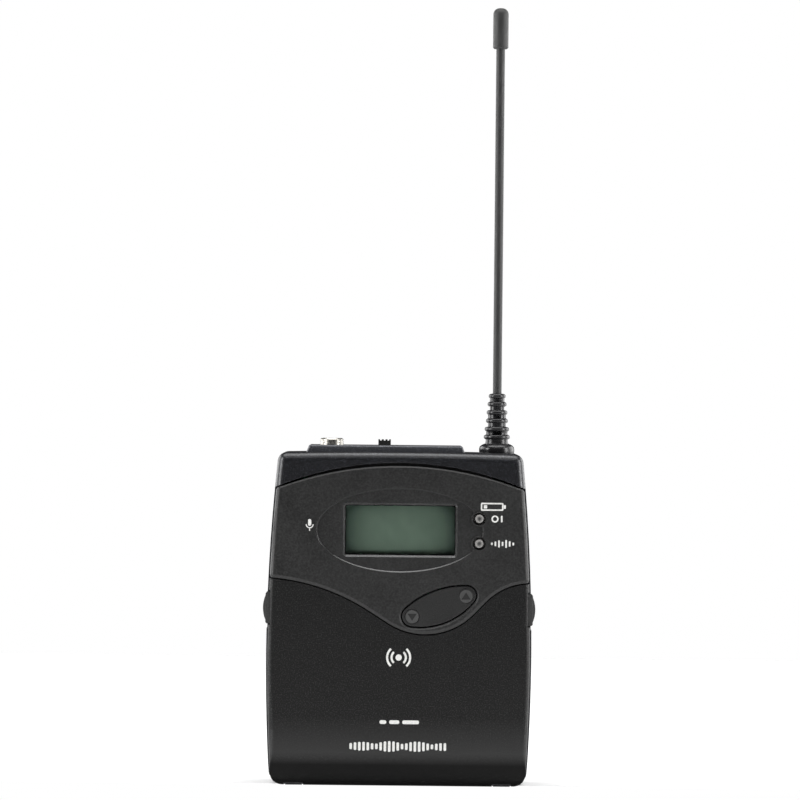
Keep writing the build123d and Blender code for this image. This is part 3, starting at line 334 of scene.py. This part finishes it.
def crystal_cell(name):
    """The unlit display: hazy grey-green, with painted shade darkening it towards its edges, where its frame
    would shade it.
    """
    shader = Shader(name)
    low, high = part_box("display_window")
    middle = (low + high) / 2
    half = (high - low) / 2
    across = shader.math("DIVIDE", shader.math("SUBTRACT", shader.axis("X"), middle.x), half.x)
    up = shader.math("DIVIDE", shader.math("SUBTRACT", shader.axis("Z"), middle.z), half.z)
    wide = shader.math("POWER", shader.math("ABSOLUTE", across), 3.0)
    tall = shader.math("POWER", shader.math("ABSOLUTE", up), 4.0)
    edge = shader.math("ADD", wide, shader.math("MULTIPLY", tall, 0.7))
    # Painted shade: the colour darkens towards the edges, for the shade the frame casts on the display.
    painted_edge_shade = shader.spread(edge, 0.0, 1.0, 0.0, 0.9)
    haze = shader.noise(6 * MM, detail=2)
    lit = shader.mix(shader.spread(haze, 0.0, 1.0, 0.35, 0.7), (0.56, 0.7, 0.59), (0.66, 0.82, 0.69))
    shader.colour(shader.mix(painted_edge_shade, lit, (0.14, 0.2, 0.17)))
    shader.bump(shader.noise(1.5 * MM), 0.002 * MM)
    shader.set(Roughness=0.35)
    return shader.material


def milky(name, colour):
    """Translucent moulding that spreads light."""
    shader = Shader(name)
    cloud = shader.noise(1.5 * MM, detail=2)
    deep = tuple(channel * 0.7 for channel in colour)
    shader.colour(shader.mix(cloud, deep, colour))
    shader.roughness(shader.spread(cloud, 0.2, 0.35))
    shader.bump(cloud, 0.02 * MM)
    shader.set(Subsurface_Weight=0.25, Subsurface_Scale=0.6 * MM)
    return shader.material


def indicator_lens(name):
    """Smoky lens of an indicator: a pale rim round the darker chip behind its middle."""
    shader = Shader(name)
    distances = []
    for light in ("power_light", "peak_light"):
        low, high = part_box(light)
        middle = (low + high) / 2
        across = shader.math("SUBTRACT", shader.axis("X"), middle.x)
        up = shader.math("SUBTRACT", shader.axis("Z"), middle.z)
        square = shader.math("ADD", shader.math("MULTIPLY", across, across), shader.math("MULTIPLY", up, up))
        distances.append(shader.math("SQRT", square))
    distance = shader.math("MINIMUM", *distances)
    cloud = shader.noise(0.4 * MM, detail=2)
    rim = shader.spread(distance, 0.0, 1.0, 0.25 * MM, 0.75 * MM)
    glow = shader.math("MULTIPLY", rim, shader.spread(cloud, 0.6, 1.0, 0.3, 0.7))
    shader.colour(shader.mix(glow, (0.05, 0.05, 0.05), (0.34, 0.33, 0.32)))
    shader.roughness(shader.spread(cloud, 0.12, 0.25))
    shader.bump(cloud, 0.02 * MM)
    shader.set(Coat_Weight=0.6, Coat_Roughness=0.08)
    return shader.material


def circuit_board(name):
    """Green solder mask over copper tracks, with the bare laminate at its edges."""
    shader = Shader(name)
    tracks = shader.add("ShaderNodeTexBrick")
    tracks.inputs["Scale"].default_value = 1.0 / (3.2 * MM)
    tracks.inputs["Mortar Size"].default_value = 0.06
    tracks.inputs["Color1"].default_value = (0.0, 0.0, 0.0, 1.0)
    tracks.inputs["Color2"].default_value = (0.25, 0.25, 0.25, 1.0)
    tracks.inputs["Mortar"].default_value = (1.0, 1.0, 1.0, 1.0)
    turn = shader.add("ShaderNodeMapping")
    turn.inputs["Rotation"].default_value = (math.radians(90), 0.0, 0.0)
    shader.link(shader.place, turn.inputs["Vector"])
    shader.link(turn.outputs["Vector"], tracks.inputs["Vector"])
    shader.colour(shader.mix(tracks.outputs["Color"], (0.008, 0.075, 0.03), (0.02, 0.16, 0.06)))
    shader.bump(tracks.outputs["Fac"], 0.03 * MM)
    shader.set(Roughness=0.35)
    return shader.material


def battery_sleeve(name):
    """A plain two-colour cell sleeve, with bare metal on the ends."""
    shader = Shader(name)
    along = shader.axis("X")
    low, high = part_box("battery_upper")
    reach = (high.x - low.x) / 2
    distance = shader.math("ABSOLUTE", along)
    bare = shader.math("GREATER_THAN", distance, reach - 1.8 * MM)
    band = shader.math("GREATER_THAN", along, 8 * MM)
    scuffs = shader.noise(1.2 * MM, detail=4)
    sleeve = shader.mix(band, (0.022, 0.024, 0.03), (0.33, 0.34, 0.36))
    worn = shader.mix(shader.spread(scuffs, 0.0, 0.35, 0.55, 0.75), sleeve, (0.2, 0.2, 0.2))
    shader.colour(shader.mix(bare, worn, (0.62, 0.61, 0.58)))
    shader.link(bare, shader.surface.inputs["Metallic"])
    shader.roughness(shader.spread(scuffs, 0.25, 0.42))
    shader.bump(scuffs, 0.01 * MM)
    return shader.material


def printed_ink(name, colour):
    """Screen-printed ink: a little uneven, and rough."""
    shader = Shader(name)
    cover = shader.noise(0.3 * MM, detail=3)
    thin = tuple(channel * 0.8 for channel in colour)
    shader.colour(shader.mix(shader.spread(cover, 0.0, 1.0, 0.35, 0.6), thin, colour))
    shader.bump(cover, 0.01 * MM)
    shader.set(Roughness=0.6)
    return shader.material


def make_materials():
    """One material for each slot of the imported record."""
    made = {}

    def plastic(slot, grey, worn, roughness, grain, depth, shine=0.5):
        greys = (grey, grey, grey), (worn, worn, worn)
        made[slot] = moulded(slot, *greys, roughness, grain * MM, depth * MM, shine)

    plastic("panel_plastic", 0.011, 0.045, 0.42, 0.4, 0.025, shine=0.38)
    plastic("inner_plastic", 0.02, 0.04, 0.5, 0.4, 0.02)
    plastic("key_plastic", 0.009, 0.035, 0.45, 0.3, 0.015, shine=0.4)
    plastic("catch_plastic", 0.04, 0.09, 0.36, 0.3, 0.012)
    plastic("slider_plastic", 0.012, 0.04, 0.4, 0.3, 0.01)
    plastic("chip_black", 0.012, 0.03, 0.6, 0.2, 0.01)
    plastic("label_film", 0.03, 0.06, 0.3, 0.2, 0.006)
    red = (0.3, 0.015, 0.012)
    made["wire_insulation"] = moulded("wire_insulation", red, (0.4, 0.05, 0.04), 0.4, 0.5 * MM, 0.01 * MM)
    blue_black = (0.007, 0.0073, 0.009)
    flake = (0.052, 0.054, 0.063)
    made["housing_paint"] = flake_paint("housing_paint", blue_black, flake, 0.36, (0.14, 0.14, 0.16))
    # Painted light: the plate's paint is made lighter than the housing's, partly as its own tone and partly
    # standing in for the top light that falls on its sloped front.
    plate_tone_with_painted_light = (0.05, 0.052, 0.06)
    pale_flake = (0.14, 0.145, 0.16)
    made["plate_paint"] = flake_paint("plate_paint", plate_tone_with_painted_light, pale_flake, 0.42, (0.2, 0.2, 0.22))
    made["door_plastic"] = speckle_paint("door_plastic", (0.002, 0.002, 0.002), (0.026, 0.026, 0.026), 0.42)
    made["window_glass"] = clear_window("window_glass")
    made["display_glass"] = crystal_cell("display_glass")
    made["light_guide"] = milky("light_guide", (0.7, 0.75, 0.7))
    made["foam"] = foam("foam", (0.03, 0.03, 0.032))
    made["indicator"] = indicator_lens("indicator")
    made["board_green"] = circuit_board("board_green")
    made["tin"] = metal("tin", (0.62, 0.62, 0.6), 0.3)
    made["nickel"] = metal("nickel", (0.45, 0.435, 0.4), 0.3)
    made["spring_steel"] = metal("spring_steel", (0.5, 0.5, 0.5), 0.25)
    made["brass_parts"] = metal("brass_parts", (0.72, 0.52, 0.22), 0.25)
    made["gold_contact"] = metal("gold_contact", (0.85, 0.6, 0.24), 0.2)
    made["black_steel"] = rubber("black_steel", (0.012, 0.012, 0.012), 0.28, 0.004 * MM)
    made["rubber_black"] = rubber("rubber_black", (0.01, 0.01, 0.011), 0.22, 0.015 * MM)
    made["whip_coating"] = rubber("whip_coating", (0.022, 0.022, 0.022), 0.5, 0.01 * MM)
    made["cell_wrap"] = battery_sleeve("cell_wrap")
    made["print_ink"] = printed_ink("print_ink", (0.72, 0.72, 0.7))
    return made


materials = make_materials()
slot_of = {entry["node"]: entry["material_slot"] for entry in frame["record"]["subparts"]}
for node_name, node in nodes.items():
    node.data.materials.clear()
    node.data.materials.append(materials[slot_of[node_name]])
ink = materials["print_ink"]
dark_ink = printed_ink("dark_ink", (0.004, 0.004, 0.004))
# Painted highlight: a lighter key plastic for the rocker's finger discs, standing in for the light their
# shallow dishes catch.
painted_light_key = moulded("painted_light_key", (0.05, 0.05, 0.05), (0.08, 0.08, 0.08), 0.38, 0.25 * MM, 0.01 * MM)
polished_edge = moulded(
    "polished_edge", (0.02, 0.02, 0.02), (0.06, 0.06, 0.06), 0.2, 0.3 * MM, 0.004 * MM, shine=0.8
)


# ------------------------------------------------------------------- mesh helpers
def finish_piece(name, mesh, material, body):
    """Turns a finished bmesh into a piece that rides on a body."""
    data = bpy.data.meshes.new(name)
    bmesh.ops.recalc_face_normals(mesh, faces=mesh.faces)
    mesh.to_mesh(data)
    mesh.free()
    data.materials.append(material)
    piece = bpy.data.objects.new(name, data)
    bpy.context.scene.collection.objects.link(piece)
    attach(piece, body)
    return piece


def arc_points(x, z, radius, start, end, steps):
    """Points on an arc in the front view, with its angles in degrees."""
    angles = [math.radians(start + (end - start) * step / steps) for step in range(steps + 1)]
    return [(x + radius * math.cos(angle), z + radius * math.sin(angle)) for angle in angles]


def rounded_box(x, z, width, height, radius):
    """The outline of a rounded rectangle in the front view."""
    points = []
    for side_x, side_z, start in ((1, 1, 0), (-1, 1, 90), (-1, -1, 180), (1, -1, 270)):
        corner_x = x + side_x * (width / 2 - radius)
        corner_z = z + side_z * (height / 2 - radius)
        points += arc_points(corner_x, corner_z, radius, start, start + 90, 6)
    return points


def circle(x, z, radius, steps=40):
    return arc_points(x, z, radius, 0, 360, steps)[:-1]


def print_shape(mesh, outline, face):
    """A filled outline as a thin closed slab on the surface at the depth face."""
    front = [mesh.verts.new((x, face - INK_PROUD, z)) for x, z in outline]
    back = [mesh.verts.new((x, face + INK_DEPTH, z)) for x, z in outline]
    mesh.faces.new(front)
    mesh.faces.new(list(reversed(back)))
    count = len(outline)
    for step in range(count):
        after = (step + 1) % count
        mesh.faces.new((front[after], front[step], back[step], back[after]))


def print_band(mesh, outer, inner, face):
    """The band between two outlines with the same number of points, as a thin closed slab."""
    loops = []
    for outline, depth in ((outer, -INK_PROUD), (inner, -INK_PROUD), (inner, INK_DEPTH), (outer, INK_DEPTH)):
        loops.append([mesh.verts.new((x, face + depth, z)) for x, z in outline])
    count = len(outer)
    for ring, after_ring in zip(loops, loops[1:] + loops[:1]):
        for step in range(count):
            after = (step + 1) % count
            mesh.faces.new((ring[step], ring[after], after_ring[after], after_ring[step]))


def print_arc(mesh, x, z, radius, thick, start, end, face):
    """Part of a ring, with its angles in degrees."""
    outer = arc_points(x, z, radius + thick / 2, start, end, 16)
    inner = arc_points(x, z, radius - thick / 2, end, start, 16)
    print_shape(mesh, outer + inner, face)


# ---------------------------------------------------------------- printed symbols
def printed_panel_marks():
    """Plain symbols beside the two indicator lights, and a microphone symbol on the left."""
    mesh = bmesh.new()
    power_low, power_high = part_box("power_light")
    peak_low, peak_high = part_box("peak_light")
    power = (power_low + power_high) / 2
    peak = (peak_low + peak_high) / 2
    face = PANEL_FACE
    # Battery outline with one short bar, above the upper light
    battery_x = power.x + 3.0 * MM
    battery_z = power.z + 2.9 * MM
    outer = rounded_box(battery_x, battery_z, 5.4 * MM, 1.9 * MM, 0.3 * MM)
    inner = rounded_box(battery_x, battery_z, 4.7 * MM, 1.2 * MM, 0.1 * MM)
    print_band(mesh, outer, inner, face)
    print_shape(mesh, rounded_box(battery_x + 3.0 * MM, battery_z, 0.5 * MM, 0.9 * MM, 0.1 * MM), face)
    print_shape(mesh, rounded_box(battery_x - 1.6 * MM, battery_z, 0.8 * MM, 0.8 * MM, 0.1 * MM), face)
    # Power symbol, a bar in a ring, to the right of the upper light
    power_x = power.x + 3.7 * MM
    print_band(mesh, circle(power_x, power.z, 0.85 * MM), circle(power_x, power.z, 0.5 * MM), face)
    print_shape(mesh, rounded_box(power_x + 1.6 * MM, power.z, 0.4 * MM, 1.6 * MM, 0.15 * MM), face)
    # Row of level bars, to the right of the lower light
    for step, height in enumerate((0.6, 1.1, 1.7, 1.0, 1.9, 1.3, 0.7)):
        bar_x = peak.x + (3.0 + step * 0.85) * MM
        print_shape(mesh, rounded_box(bar_x, peak.z, 0.4 * MM, height * MM, 0.15 * MM), face)
    # Microphone symbol: a capsule in a cradle
    mic_x = -21.5 * MM
    mic_z = peak.z + 4.2 * MM
    print_arc(mesh, mic_x, mic_z, 0.82 * MM, 0.25 * MM, 180, 360, face)
    print_shape(mesh, rounded_box(mic_x, mic_z + 0.45 * MM, 0.75 * MM, 1.6 * MM, 0.36 * MM), face)
    print_shape(mesh, rounded_box(mic_x, mic_z - 1.25 * MM, 0.25 * MM, 0.6 * MM, 0.1 * MM), face)
    finish_piece("panel_marks", mesh, ink, "root")


def printed_door_marks():
    """Plain marks in place of the maker's: a radio-wave symbol, three dashes and a row of level bars."""
    mesh = bmesh.new()
    face = DOOR_FACE
    # A dot with two waves on each side
    wave_z = 31.2 * MM
    print_shape(mesh, circle(0.0, wave_z, 0.75 * MM), face)
    for radius in (1.7 * MM, 2.75 * MM):
        for turn in (0, 180):
            print_arc(mesh, 0.0, wave_z, radius, 0.5 * MM, turn - 48, turn + 48, face)
    # Three dashes
    dash_z = 15.8 * MM
    for dash_x, width in ((-3.6, 1.6), (-0.9, 2.4), (3.0, 4.0)):
        print_shape(mesh, rounded_box(dash_x * MM, dash_z, width * MM, 0.9 * MM, 0.4 * MM), face)
    # Row of level bars
    row_z = 10.0 * MM
    bars = 23
    for step in range(bars):
        share = step / (bars - 1)
        swell = abs(math.sin(share * math.pi * 3.3 + 0.5)) * (0.5 + 0.5 * math.sin(share * math.pi))
        bar_x = (share - 0.5) * 22.4 * MM
        print_shape(mesh, rounded_box(bar_x, row_z, 0.62 * MM, (1.1 + 1.5 * swell) * MM, 0.25 * MM), face)
    finish_piece("door_marks", mesh, ink, "door")


def rocker_discs():
    """Middles of the rocker's two finger discs, lower first, in the front view."""
    low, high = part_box("rocker")
    inset = 2.35 * MM
    return (low.x + inset, low.z + inset), (high.x - inset, high.z - inset)


def printed_rocker_marks():
    """A lighter disc on each finger disc of the rocker key, a painted highlight for the light its shallow
    dish catches, and a triangle on each.
    """
    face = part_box("rocker")[0].y
    painted_light_discs = bmesh.new()
    marks = bmesh.new()
    for (x, z), sign in zip(rocker_discs(), (-1, 1)):
        # Painted highlight on the finger disc.
        print_shape(painted_light_discs, circle(x, z, 1.55 * MM), face)
        tip = (x, z + sign * 0.95 * MM)
        left = (x - sign * 1.1 * MM, z - sign * 0.75 * MM)
        right = (x + sign * 1.1 * MM, z - sign * 0.75 * MM)
        print_shape(marks, [tip, left, right], face - INK_PROUD)
    finish_piece("rocker_painted_light_discs", painted_light_discs, painted_light_key, "rocker_key")
    finish_piece("rocker_marks", marks, dark_ink, "rocker_key")


def printed_label():
    """A plain border, three rules and a block of bars on the rear label."""
    mesh = bmesh.new()
    low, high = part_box("rear_label")
    middle = (low + high) / 2
    width = high.x - low.x
    height = high.z - low.z
    face = high.y + INK_PROUD - INK_DEPTH
    outer = rounded_box(middle.x, middle.z, width - 2 * MM, height - 2 * MM, 1.2 * MM)
    inner = rounded_box(middle.x, middle.z, width - 2.6 * MM, height - 2.6 * MM, 0.9 * MM)
    print_band(mesh, outer, inner, face)
    for step, share in enumerate((0.8, 0.8, 0.55)):
        rule_z = high.z - (4.5 + 2.6 * step) * MM
        rule = share * (width - 8 * MM)
        print_shape(mesh, rounded_box(low.x + 4 * MM + rule / 2, rule_z, rule, 0.5 * MM, 0.2 * MM), face)
    for step in range(16):
        bar_x = (step - 7.5) * 1.5 * MM
        bar = (0.35 + 0.3 * (step * 5 % 3)) * MM
        print_shape(mesh, rounded_box(bar_x, low.z + 5 * MM, bar, 4.5 * MM, 0.1 * MM), face)
    finish_piece("label_marks", mesh, ink, "root")


printed_panel_marks()
printed_door_marks()
printed_rocker_marks()
printed_label()


# ----------------------------------------------------------------- detailed pieces
def loft_loops(mesh, loops, closed=False):
    """Joins loops that have the same number of points; the ends are capped unless closed."""
    rings = [[mesh.verts.new(point) for point in loop] for loop in loops]
    pairs = list(zip(rings, rings[1:]))
    if closed:
        pairs.append((rings[-1], rings[0]))
    else:
        mesh.faces.new(rings[0])
        mesh.faces.new(rings[-1])
    count = len(rings[0])
    for ring, after_ring in pairs:
        for step in range(count):
            after = (step + 1) % count
            mesh.faces.new((ring[step], ring[after], after_ring[after], after_ring[step]))


def smooth_faces(piece, angle=40):
    """Smooth shading, with edges sharper than the angle kept crisp."""
    limit = math.radians(angle)
    mesh = bmesh.new()
    mesh.from_mesh(piece.data)
    for face in mesh.faces:
        face.smooth = True
    for edge in mesh.edges:
        edge.smooth = not edge.is_manifold or edge.calc_face_angle() < limit
    mesh.to_mesh(piece.data)
    mesh.free()


def antenna_boot():
    """The ribbed rubber boot: a domed flange, six rounded ribs and pockets in the grooves."""
    low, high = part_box("antenna_boot")
    x = (low.x + high.x) / 2
    y = (low.y + high.y) / 2
    ribs = [(83.8, 3.15), (85.7, 2.95), (87.7, 2.65), (89.7, 2.5), (91.7, 2.3), (93.65, 2.05)]
    grooves = [2.8, 2.55, 2.35, 2.15, 1.95, 1.75]
    rib_half = 0.52
    pocket_floor = 1.5
    pocket_half = 0.9
    rings = [(79.8, 4.1, None), (80.3, 4.23, None), (81.0, 4.23, None), (81.45, 4.1, None)]
    rings += [(81.8, 3.75, None), (82.05, 3.3, None), (82.2, 2.9, None)]
    for number, ((rib_z, rib_radius), groove) in enumerate(zip(ribs, grooves)):
        rings.append((rib_z - rib_half - 0.12, groove, number))
        for angle in (-80, -50, -20, 20, 50, 80):
            turn = math.radians(angle)
            rings.append((rib_z + rib_half * math.sin(turn), rib_radius - 0.4 + 0.4 * math.cos(turn), None))
        if number < len(ribs) - 1:
            rings.append((rib_z + rib_half + 0.12, grooves[number + 1], number + 1))
    rings += [(94.25, 1.4, None), (94.28, 1.1, None)]
    steps = 72
    loops = []
    for z, radius, groove in rings:
        loop = []
        for step in range(steps):
            angle = 2 * math.pi * step / steps
            reach = radius
            if groove is not None:
                facing = abs(math.cos(angle)) if groove % 2 == 0 else abs(math.sin(angle))
                if math.sqrt(1 - facing**2) * radius < pocket_half:
                    reach = pocket_floor
            loop.append((x + reach * MM * math.cos(angle), y + reach * MM * math.sin(angle), z * MM))
        loops.append(loop)
    mesh = bmesh.new()
    loft_loops(mesh, loops)
    piece = finish_piece("boot_rubber", mesh, materials["rubber_black"], "root")
    smooth_faces(piece, 50)
    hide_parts("antenna_boot")


def display_trim():
    """The polished bevel round the display opening."""
    dish_floor = PANEL_FACE + DISH_DEPTH
    bevel = 0.5 * MM
    proud = 0.03 * MM
    loops = []
    for grow, depth in ((bevel, -proud), (0.0, bevel - proud), (0.0, bevel + proud), (bevel, proud)):
        width = DISPLAY_WIDTH + 2 * grow
        height = DISPLAY_HEIGHT + 2 * grow
        outline = rounded_box(DISPLAY_X, DISPLAY_Z, width, height, DISPLAY_CORNER + grow)
        loops.append([(px, dish_floor + depth, pz) for px, pz in outline])
    mesh = bmesh.new()
    loft_loops(mesh, loops, closed=True)
    finish_piece("display_trim", mesh, polished_edge, "root")


def painted_highlight_dish_rim():
    """A glossier, lighter bevel on only the lower half of the oval dish, where the top light falls: a painted
    highlight, with the upper half left as plain panel plastic. It is broken where the indicator lights' rings
    cross it.
    """
    ring = 1.95 * MM
    bevel = 0.3 * MM
    proud = 0.02 * MM
    gaps = []
    for light in ("power_light", "peak_light"):
        low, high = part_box(light)
        gaps.append(((low.x + high.x) / 2, (low.z + high.z) / 2))
    steps = 120
    runs = [[]]
    for step in range(steps + 1):
        angle = math.pi * (1 + step / steps)
        x = DISH_HALF_WIDTH * math.cos(angle)
        z = DISPLAY_Z + DISH_HALF_HEIGHT * math.sin(angle)
        if any(math.hypot(x - gap_x, z - gap_z) < ring for gap_x, gap_z in gaps):
            if runs[-1]:
                runs.append([])
        else:
            runs[-1].append(angle)
    mesh = bmesh.new()
    for run in runs:
        if len(run) < 2:
            continue
        loops = []
        for angle in run:
            loop = []
            corners = ((0.0, -proud), (-bevel, bevel - proud), (-bevel, bevel + proud), (0.0, proud))
            for grow, depth in corners:
                x = (DISH_HALF_WIDTH + grow) * math.cos(angle)
                z = DISPLAY_Z + (DISH_HALF_HEIGHT + grow) * math.sin(angle)
                loop.append((x, PANEL_FACE + depth, z))
            loops.append(loop)
        loft_loops(mesh, loops)
    finish_piece("painted_highlight_dish_rim", mesh, polished_edge, "root")


def cell_spring(mesh, start, reach, radius, end_radius, wire, turns):
    """A conical coil along X from start, wound from round wire."""
    steps = 40 * turns
    sides = 8
    path = []
    for step in range(steps + 1):
        share = step / steps
        angle = 2 * math.pi * turns * share
        size = radius + (end_radius - radius) * share
        path.append(start + Vector((reach * share, size * math.cos(angle), size * math.sin(angle))))
    loops = []
    for step, point in enumerate(path):
        along = path[min(step + 1, steps)] - path[max(step - 1, 0)]
        along.normalize()
        outward = along.cross(Vector((1.0, 0.0, 0.0))).normalized()
        third = along.cross(outward)
        turn = [2 * math.pi * side / sides for side in range(sides)]
        loops.append([point + outward * (wire * math.cos(a)) + third * (wire * math.sin(a)) for a in turn])
    loft_loops(mesh, loops)


def cell_springs():
    """The conical springs that press on each cell's flat end."""
    mesh = bmesh.new()
    low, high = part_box("contact_springs")
    spring_length = 2.3 * MM
    wire = 0.27 * MM
    for cell, wall_x, side in (("battery_upper", low.x, -1), ("battery_lower", high.x, 1)):
        cell_low, cell_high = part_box(cell)
        middle = (cell_low + cell_high) / 2
        start = Vector((wall_x - side * wire, middle.y, middle.z))
        cell_spring(mesh, start, -side * (spring_length - 2 * wire), 3.5 * MM, 2.1 * MM, wire, 3)
    piece = finish_piece("cell_springs", mesh, materials["spring_steel"], "root")
    smooth_faces(piece, 60)
    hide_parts("contact_springs")


def leaf_spring(side, word):
    """A bowed strip between the door and a side catch, built here in its rest bow; the real strip flattens as
    the catch is pushed in.
    """
    node = "catch_spring_" + word
    low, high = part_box(node)
    middle = (low + high) / 2
    wall_x, crest_x = (low.x, high.x) if side > 0 else (high.x, low.x)
    half_span = (high.y - low.y) / 2
    rise = abs(crest_x - wall_x)
    radius = (half_span**2 + rise**2) / (2 * rise)
    reach = math.asin(half_span / radius)
    thick = 0.2 * MM
    thick_across = 0.98 * thick
    steps = 24
    loops = []
    for step in range(steps + 1):
        angle = reach * (2 * step / steps - 1)
        outer_x = crest_x - side * radius * (1 - math.cos(angle))
        outer_y = middle.y + radius * math.sin(angle)
        inner_x = outer_x - side * thick_across * math.cos(angle)
        inner_y = outer_y - thick * math.sin(angle)
        # The strip's ends lie flat against the door's wall
        if (inner_x - wall_x) * side < 0:
            inner_x = wall_x
        corners = ((outer_x, outer_y, low.z), (inner_x, inner_y, low.z))
        corners += ((inner_x, inner_y, high.z), (outer_x, outer_y, high.z))
        loops.append(corners)
    mesh = bmesh.new()
    loft_loops(mesh, loops)
    piece = finish_piece("leaf_spring_" + word, mesh, materials["spring_steel"], "door")
    smooth_faces(piece, 50)
    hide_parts(node)
    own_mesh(piece)


def grid_rim(grid):
    """The vertices round the border of a grid, in order."""
    right = [row[-1] for row in grid[1:]]
    left = [row[0] for row in grid[-2:0:-1]]
    return grid[0] + right + grid[-1][-2::-1] + left


def foam_pad():
    """The thin foam pad on the door's inside: crowned, with soft rounded edges."""
    low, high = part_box("battery_pad")
    columns = 40
    rows = 22
    thick = high.y - low.y
    mesh = bmesh.new()
    front = []
    back = []
    for row in range(rows + 1):
        front_row = []
        back_row = []
        for column in range(columns + 1):
            share_x = column / columns
            share_z = row / rows
            x = low.x + (high.x - low.x) * share_x
            z = low.z + (high.z - low.z) * share_z
            edge = min(share_x * (high.x - low.x), (1 - share_x) * (high.x - low.x))
            edge = min(edge, share_z * (high.z - low.z), (1 - share_z) * (high.z - low.z))
            fall = max(0.0, 1 - edge / (1.6 * MM))
            dimple = 0.05 * math.sin(share_x * 19 + share_z * 5) * math.sin(share_z * 13)
            crown = 0.9 - 0.55 * fall**2 + dimple
            front_row.append(mesh.verts.new((x, low.y, z)))
            back_row.append(mesh.verts.new((x, low.y + thick * min(crown, 1.0), z)))
        front.append(front_row)
        back.append(back_row)
    for sheet in (front, back):
        for row in range(rows):
            for column in range(columns):
                lower = (sheet[row][column], sheet[row][column + 1])
                upper = (sheet[row + 1][column + 1], sheet[row + 1][column])
                mesh.faces.new(lower + upper)
    rim_front = grid_rim(front)
    rim_back = grid_rim(back)
    count = len(rim_front)
    for step in range(count):
        after = (step + 1) % count
        mesh.faces.new((rim_front[step], rim_front[after], rim_back[after], rim_back[step]))
    piece = finish_piece("door_foam", mesh, materials["foam"], "door")
    smooth_faces(piece, 60)
    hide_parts("battery_pad")


antenna_boot()
display_trim()
painted_highlight_dish_rim()
cell_springs()
leaf_spring(1, "right")
leaf_spring(-1, "left")
foam_pad()


# ------------------------------------------------------------------------- studio
def studio_floor():
    """A plain pale floor of two levels; the part stands on the upper one."""
    mesh = bmesh.new()
    for front, back, height in ((FLOOR_FRONT, STEP_EDGE, -STEP_HEIGHT), (STEP_EDGE, FLOOR_BACK, 0.0)):
        corners = [(-FLOOR_HALF, front), (FLOOR_HALF, front), (FLOOR_HALF, back), (-FLOOR_HALF, back)]
        mesh.faces.new([mesh.verts.new((x, y, height)) for x, y in corners])
    data = bpy.data.meshes.new("studio_floor")
    mesh.to_mesh(data)
    mesh.free()
    shader = Shader("studio_paper")
    paper = shader.noise(0.05, detail=2)
    shader.colour(shader.mix(paper, (0.92, 0.92, 0.92), (0.95, 0.95, 0.95)))
    shader.set(Roughness=0.95, Specular_IOR_Level=0.1)
    data.materials.append(shader.material)
    floor = bpy.data.objects.new("studio_floor", data)
    bpy.context.scene.collection.objects.link(floor)


def softbox(name, place, target, width, height, power):
    """A large soft light at place, turned to the target."""
    data = bpy.data.lights.new(name, "AREA")
    data.shape = "RECTANGLE"
    data.size = width
    data.size_y = height
    data.energy = power
    light = bpy.data.objects.new(name, data)
    light.location = place
    light.rotation_euler = (Vector(target) - Vector(place)).to_track_quat("-Z", "Y").to_euler()
    bpy.context.scene.collection.objects.link(light)


def studio_lights():
    """One large light overhead, a weak one in front, and a strip and a rim light on each side."""
    middle = (0.0, 0.0, 0.06)
    softbox("top_softbox", (0.0, -0.06, 0.8), (0.0, -0.02, 0.0), 0.9, 0.5, 6.5)
    softbox("front_softbox", (0.0, -0.6, 0.75), middle, 0.6, 0.2, 0.8)
    for side, word in ((-1, "left"), (1, "right")):
        softbox(word + "_strip", (side * 0.62, -0.25, 0.22), middle, 0.22, 0.55, 3.6)
        softbox(word + "_rim_light", (side * 0.68, 0.4, 0.25), middle, 0.7, 0.6, 5.0)


def studio_air():
    """White all round as seen, and dim as a light, so that the softboxes shape the part."""
    world = bpy.data.worlds.new("studio_air")
    world.use_nodes = True
    tree = world.node_tree
    background = tree.nodes["Background"]
    path = tree.nodes.new("ShaderNodeLightPath")
    strength = tree.nodes.new("ShaderNodeMapRange")
    strength.inputs["To Min"].default_value = 0.04
    strength.inputs["To Max"].default_value = 1.0
    tree.links.new(path.outputs["Is Camera Ray"], strength.inputs["Value"])
    tree.links.new(strength.outputs["Result"], background.inputs["Strength"])
    background.inputs["Color"].default_value = (1.0, 1.0, 1.0, 1.0)
    bpy.context.scene.world = world


def studio_camera():
    data = bpy.data.cameras.new("camera")
    data.sensor_width = SENSOR
    data.lens = SENSOR * CAMERA_DISTANCE / FRAME_WIDTH
    data.clip_start = 0.05
    data.clip_end = 20.0
    camera = bpy.data.objects.new("camera", data)
    camera.location = (CAMERA_AIM_X, PANEL_FACE - CAMERA_DISTANCE, CAMERA_AIM_Z)
    camera.rotation_euler = (math.radians(90), math.radians(CAMERA_ROLL), 0.0)
    bpy.context.scene.collection.objects.link(camera)
    bpy.context.scene.camera = camera


studio_floor()
studio_lights()
studio_air()
studio_camera()
bpy.context.scene.view_settings.view_transform = "Standard"
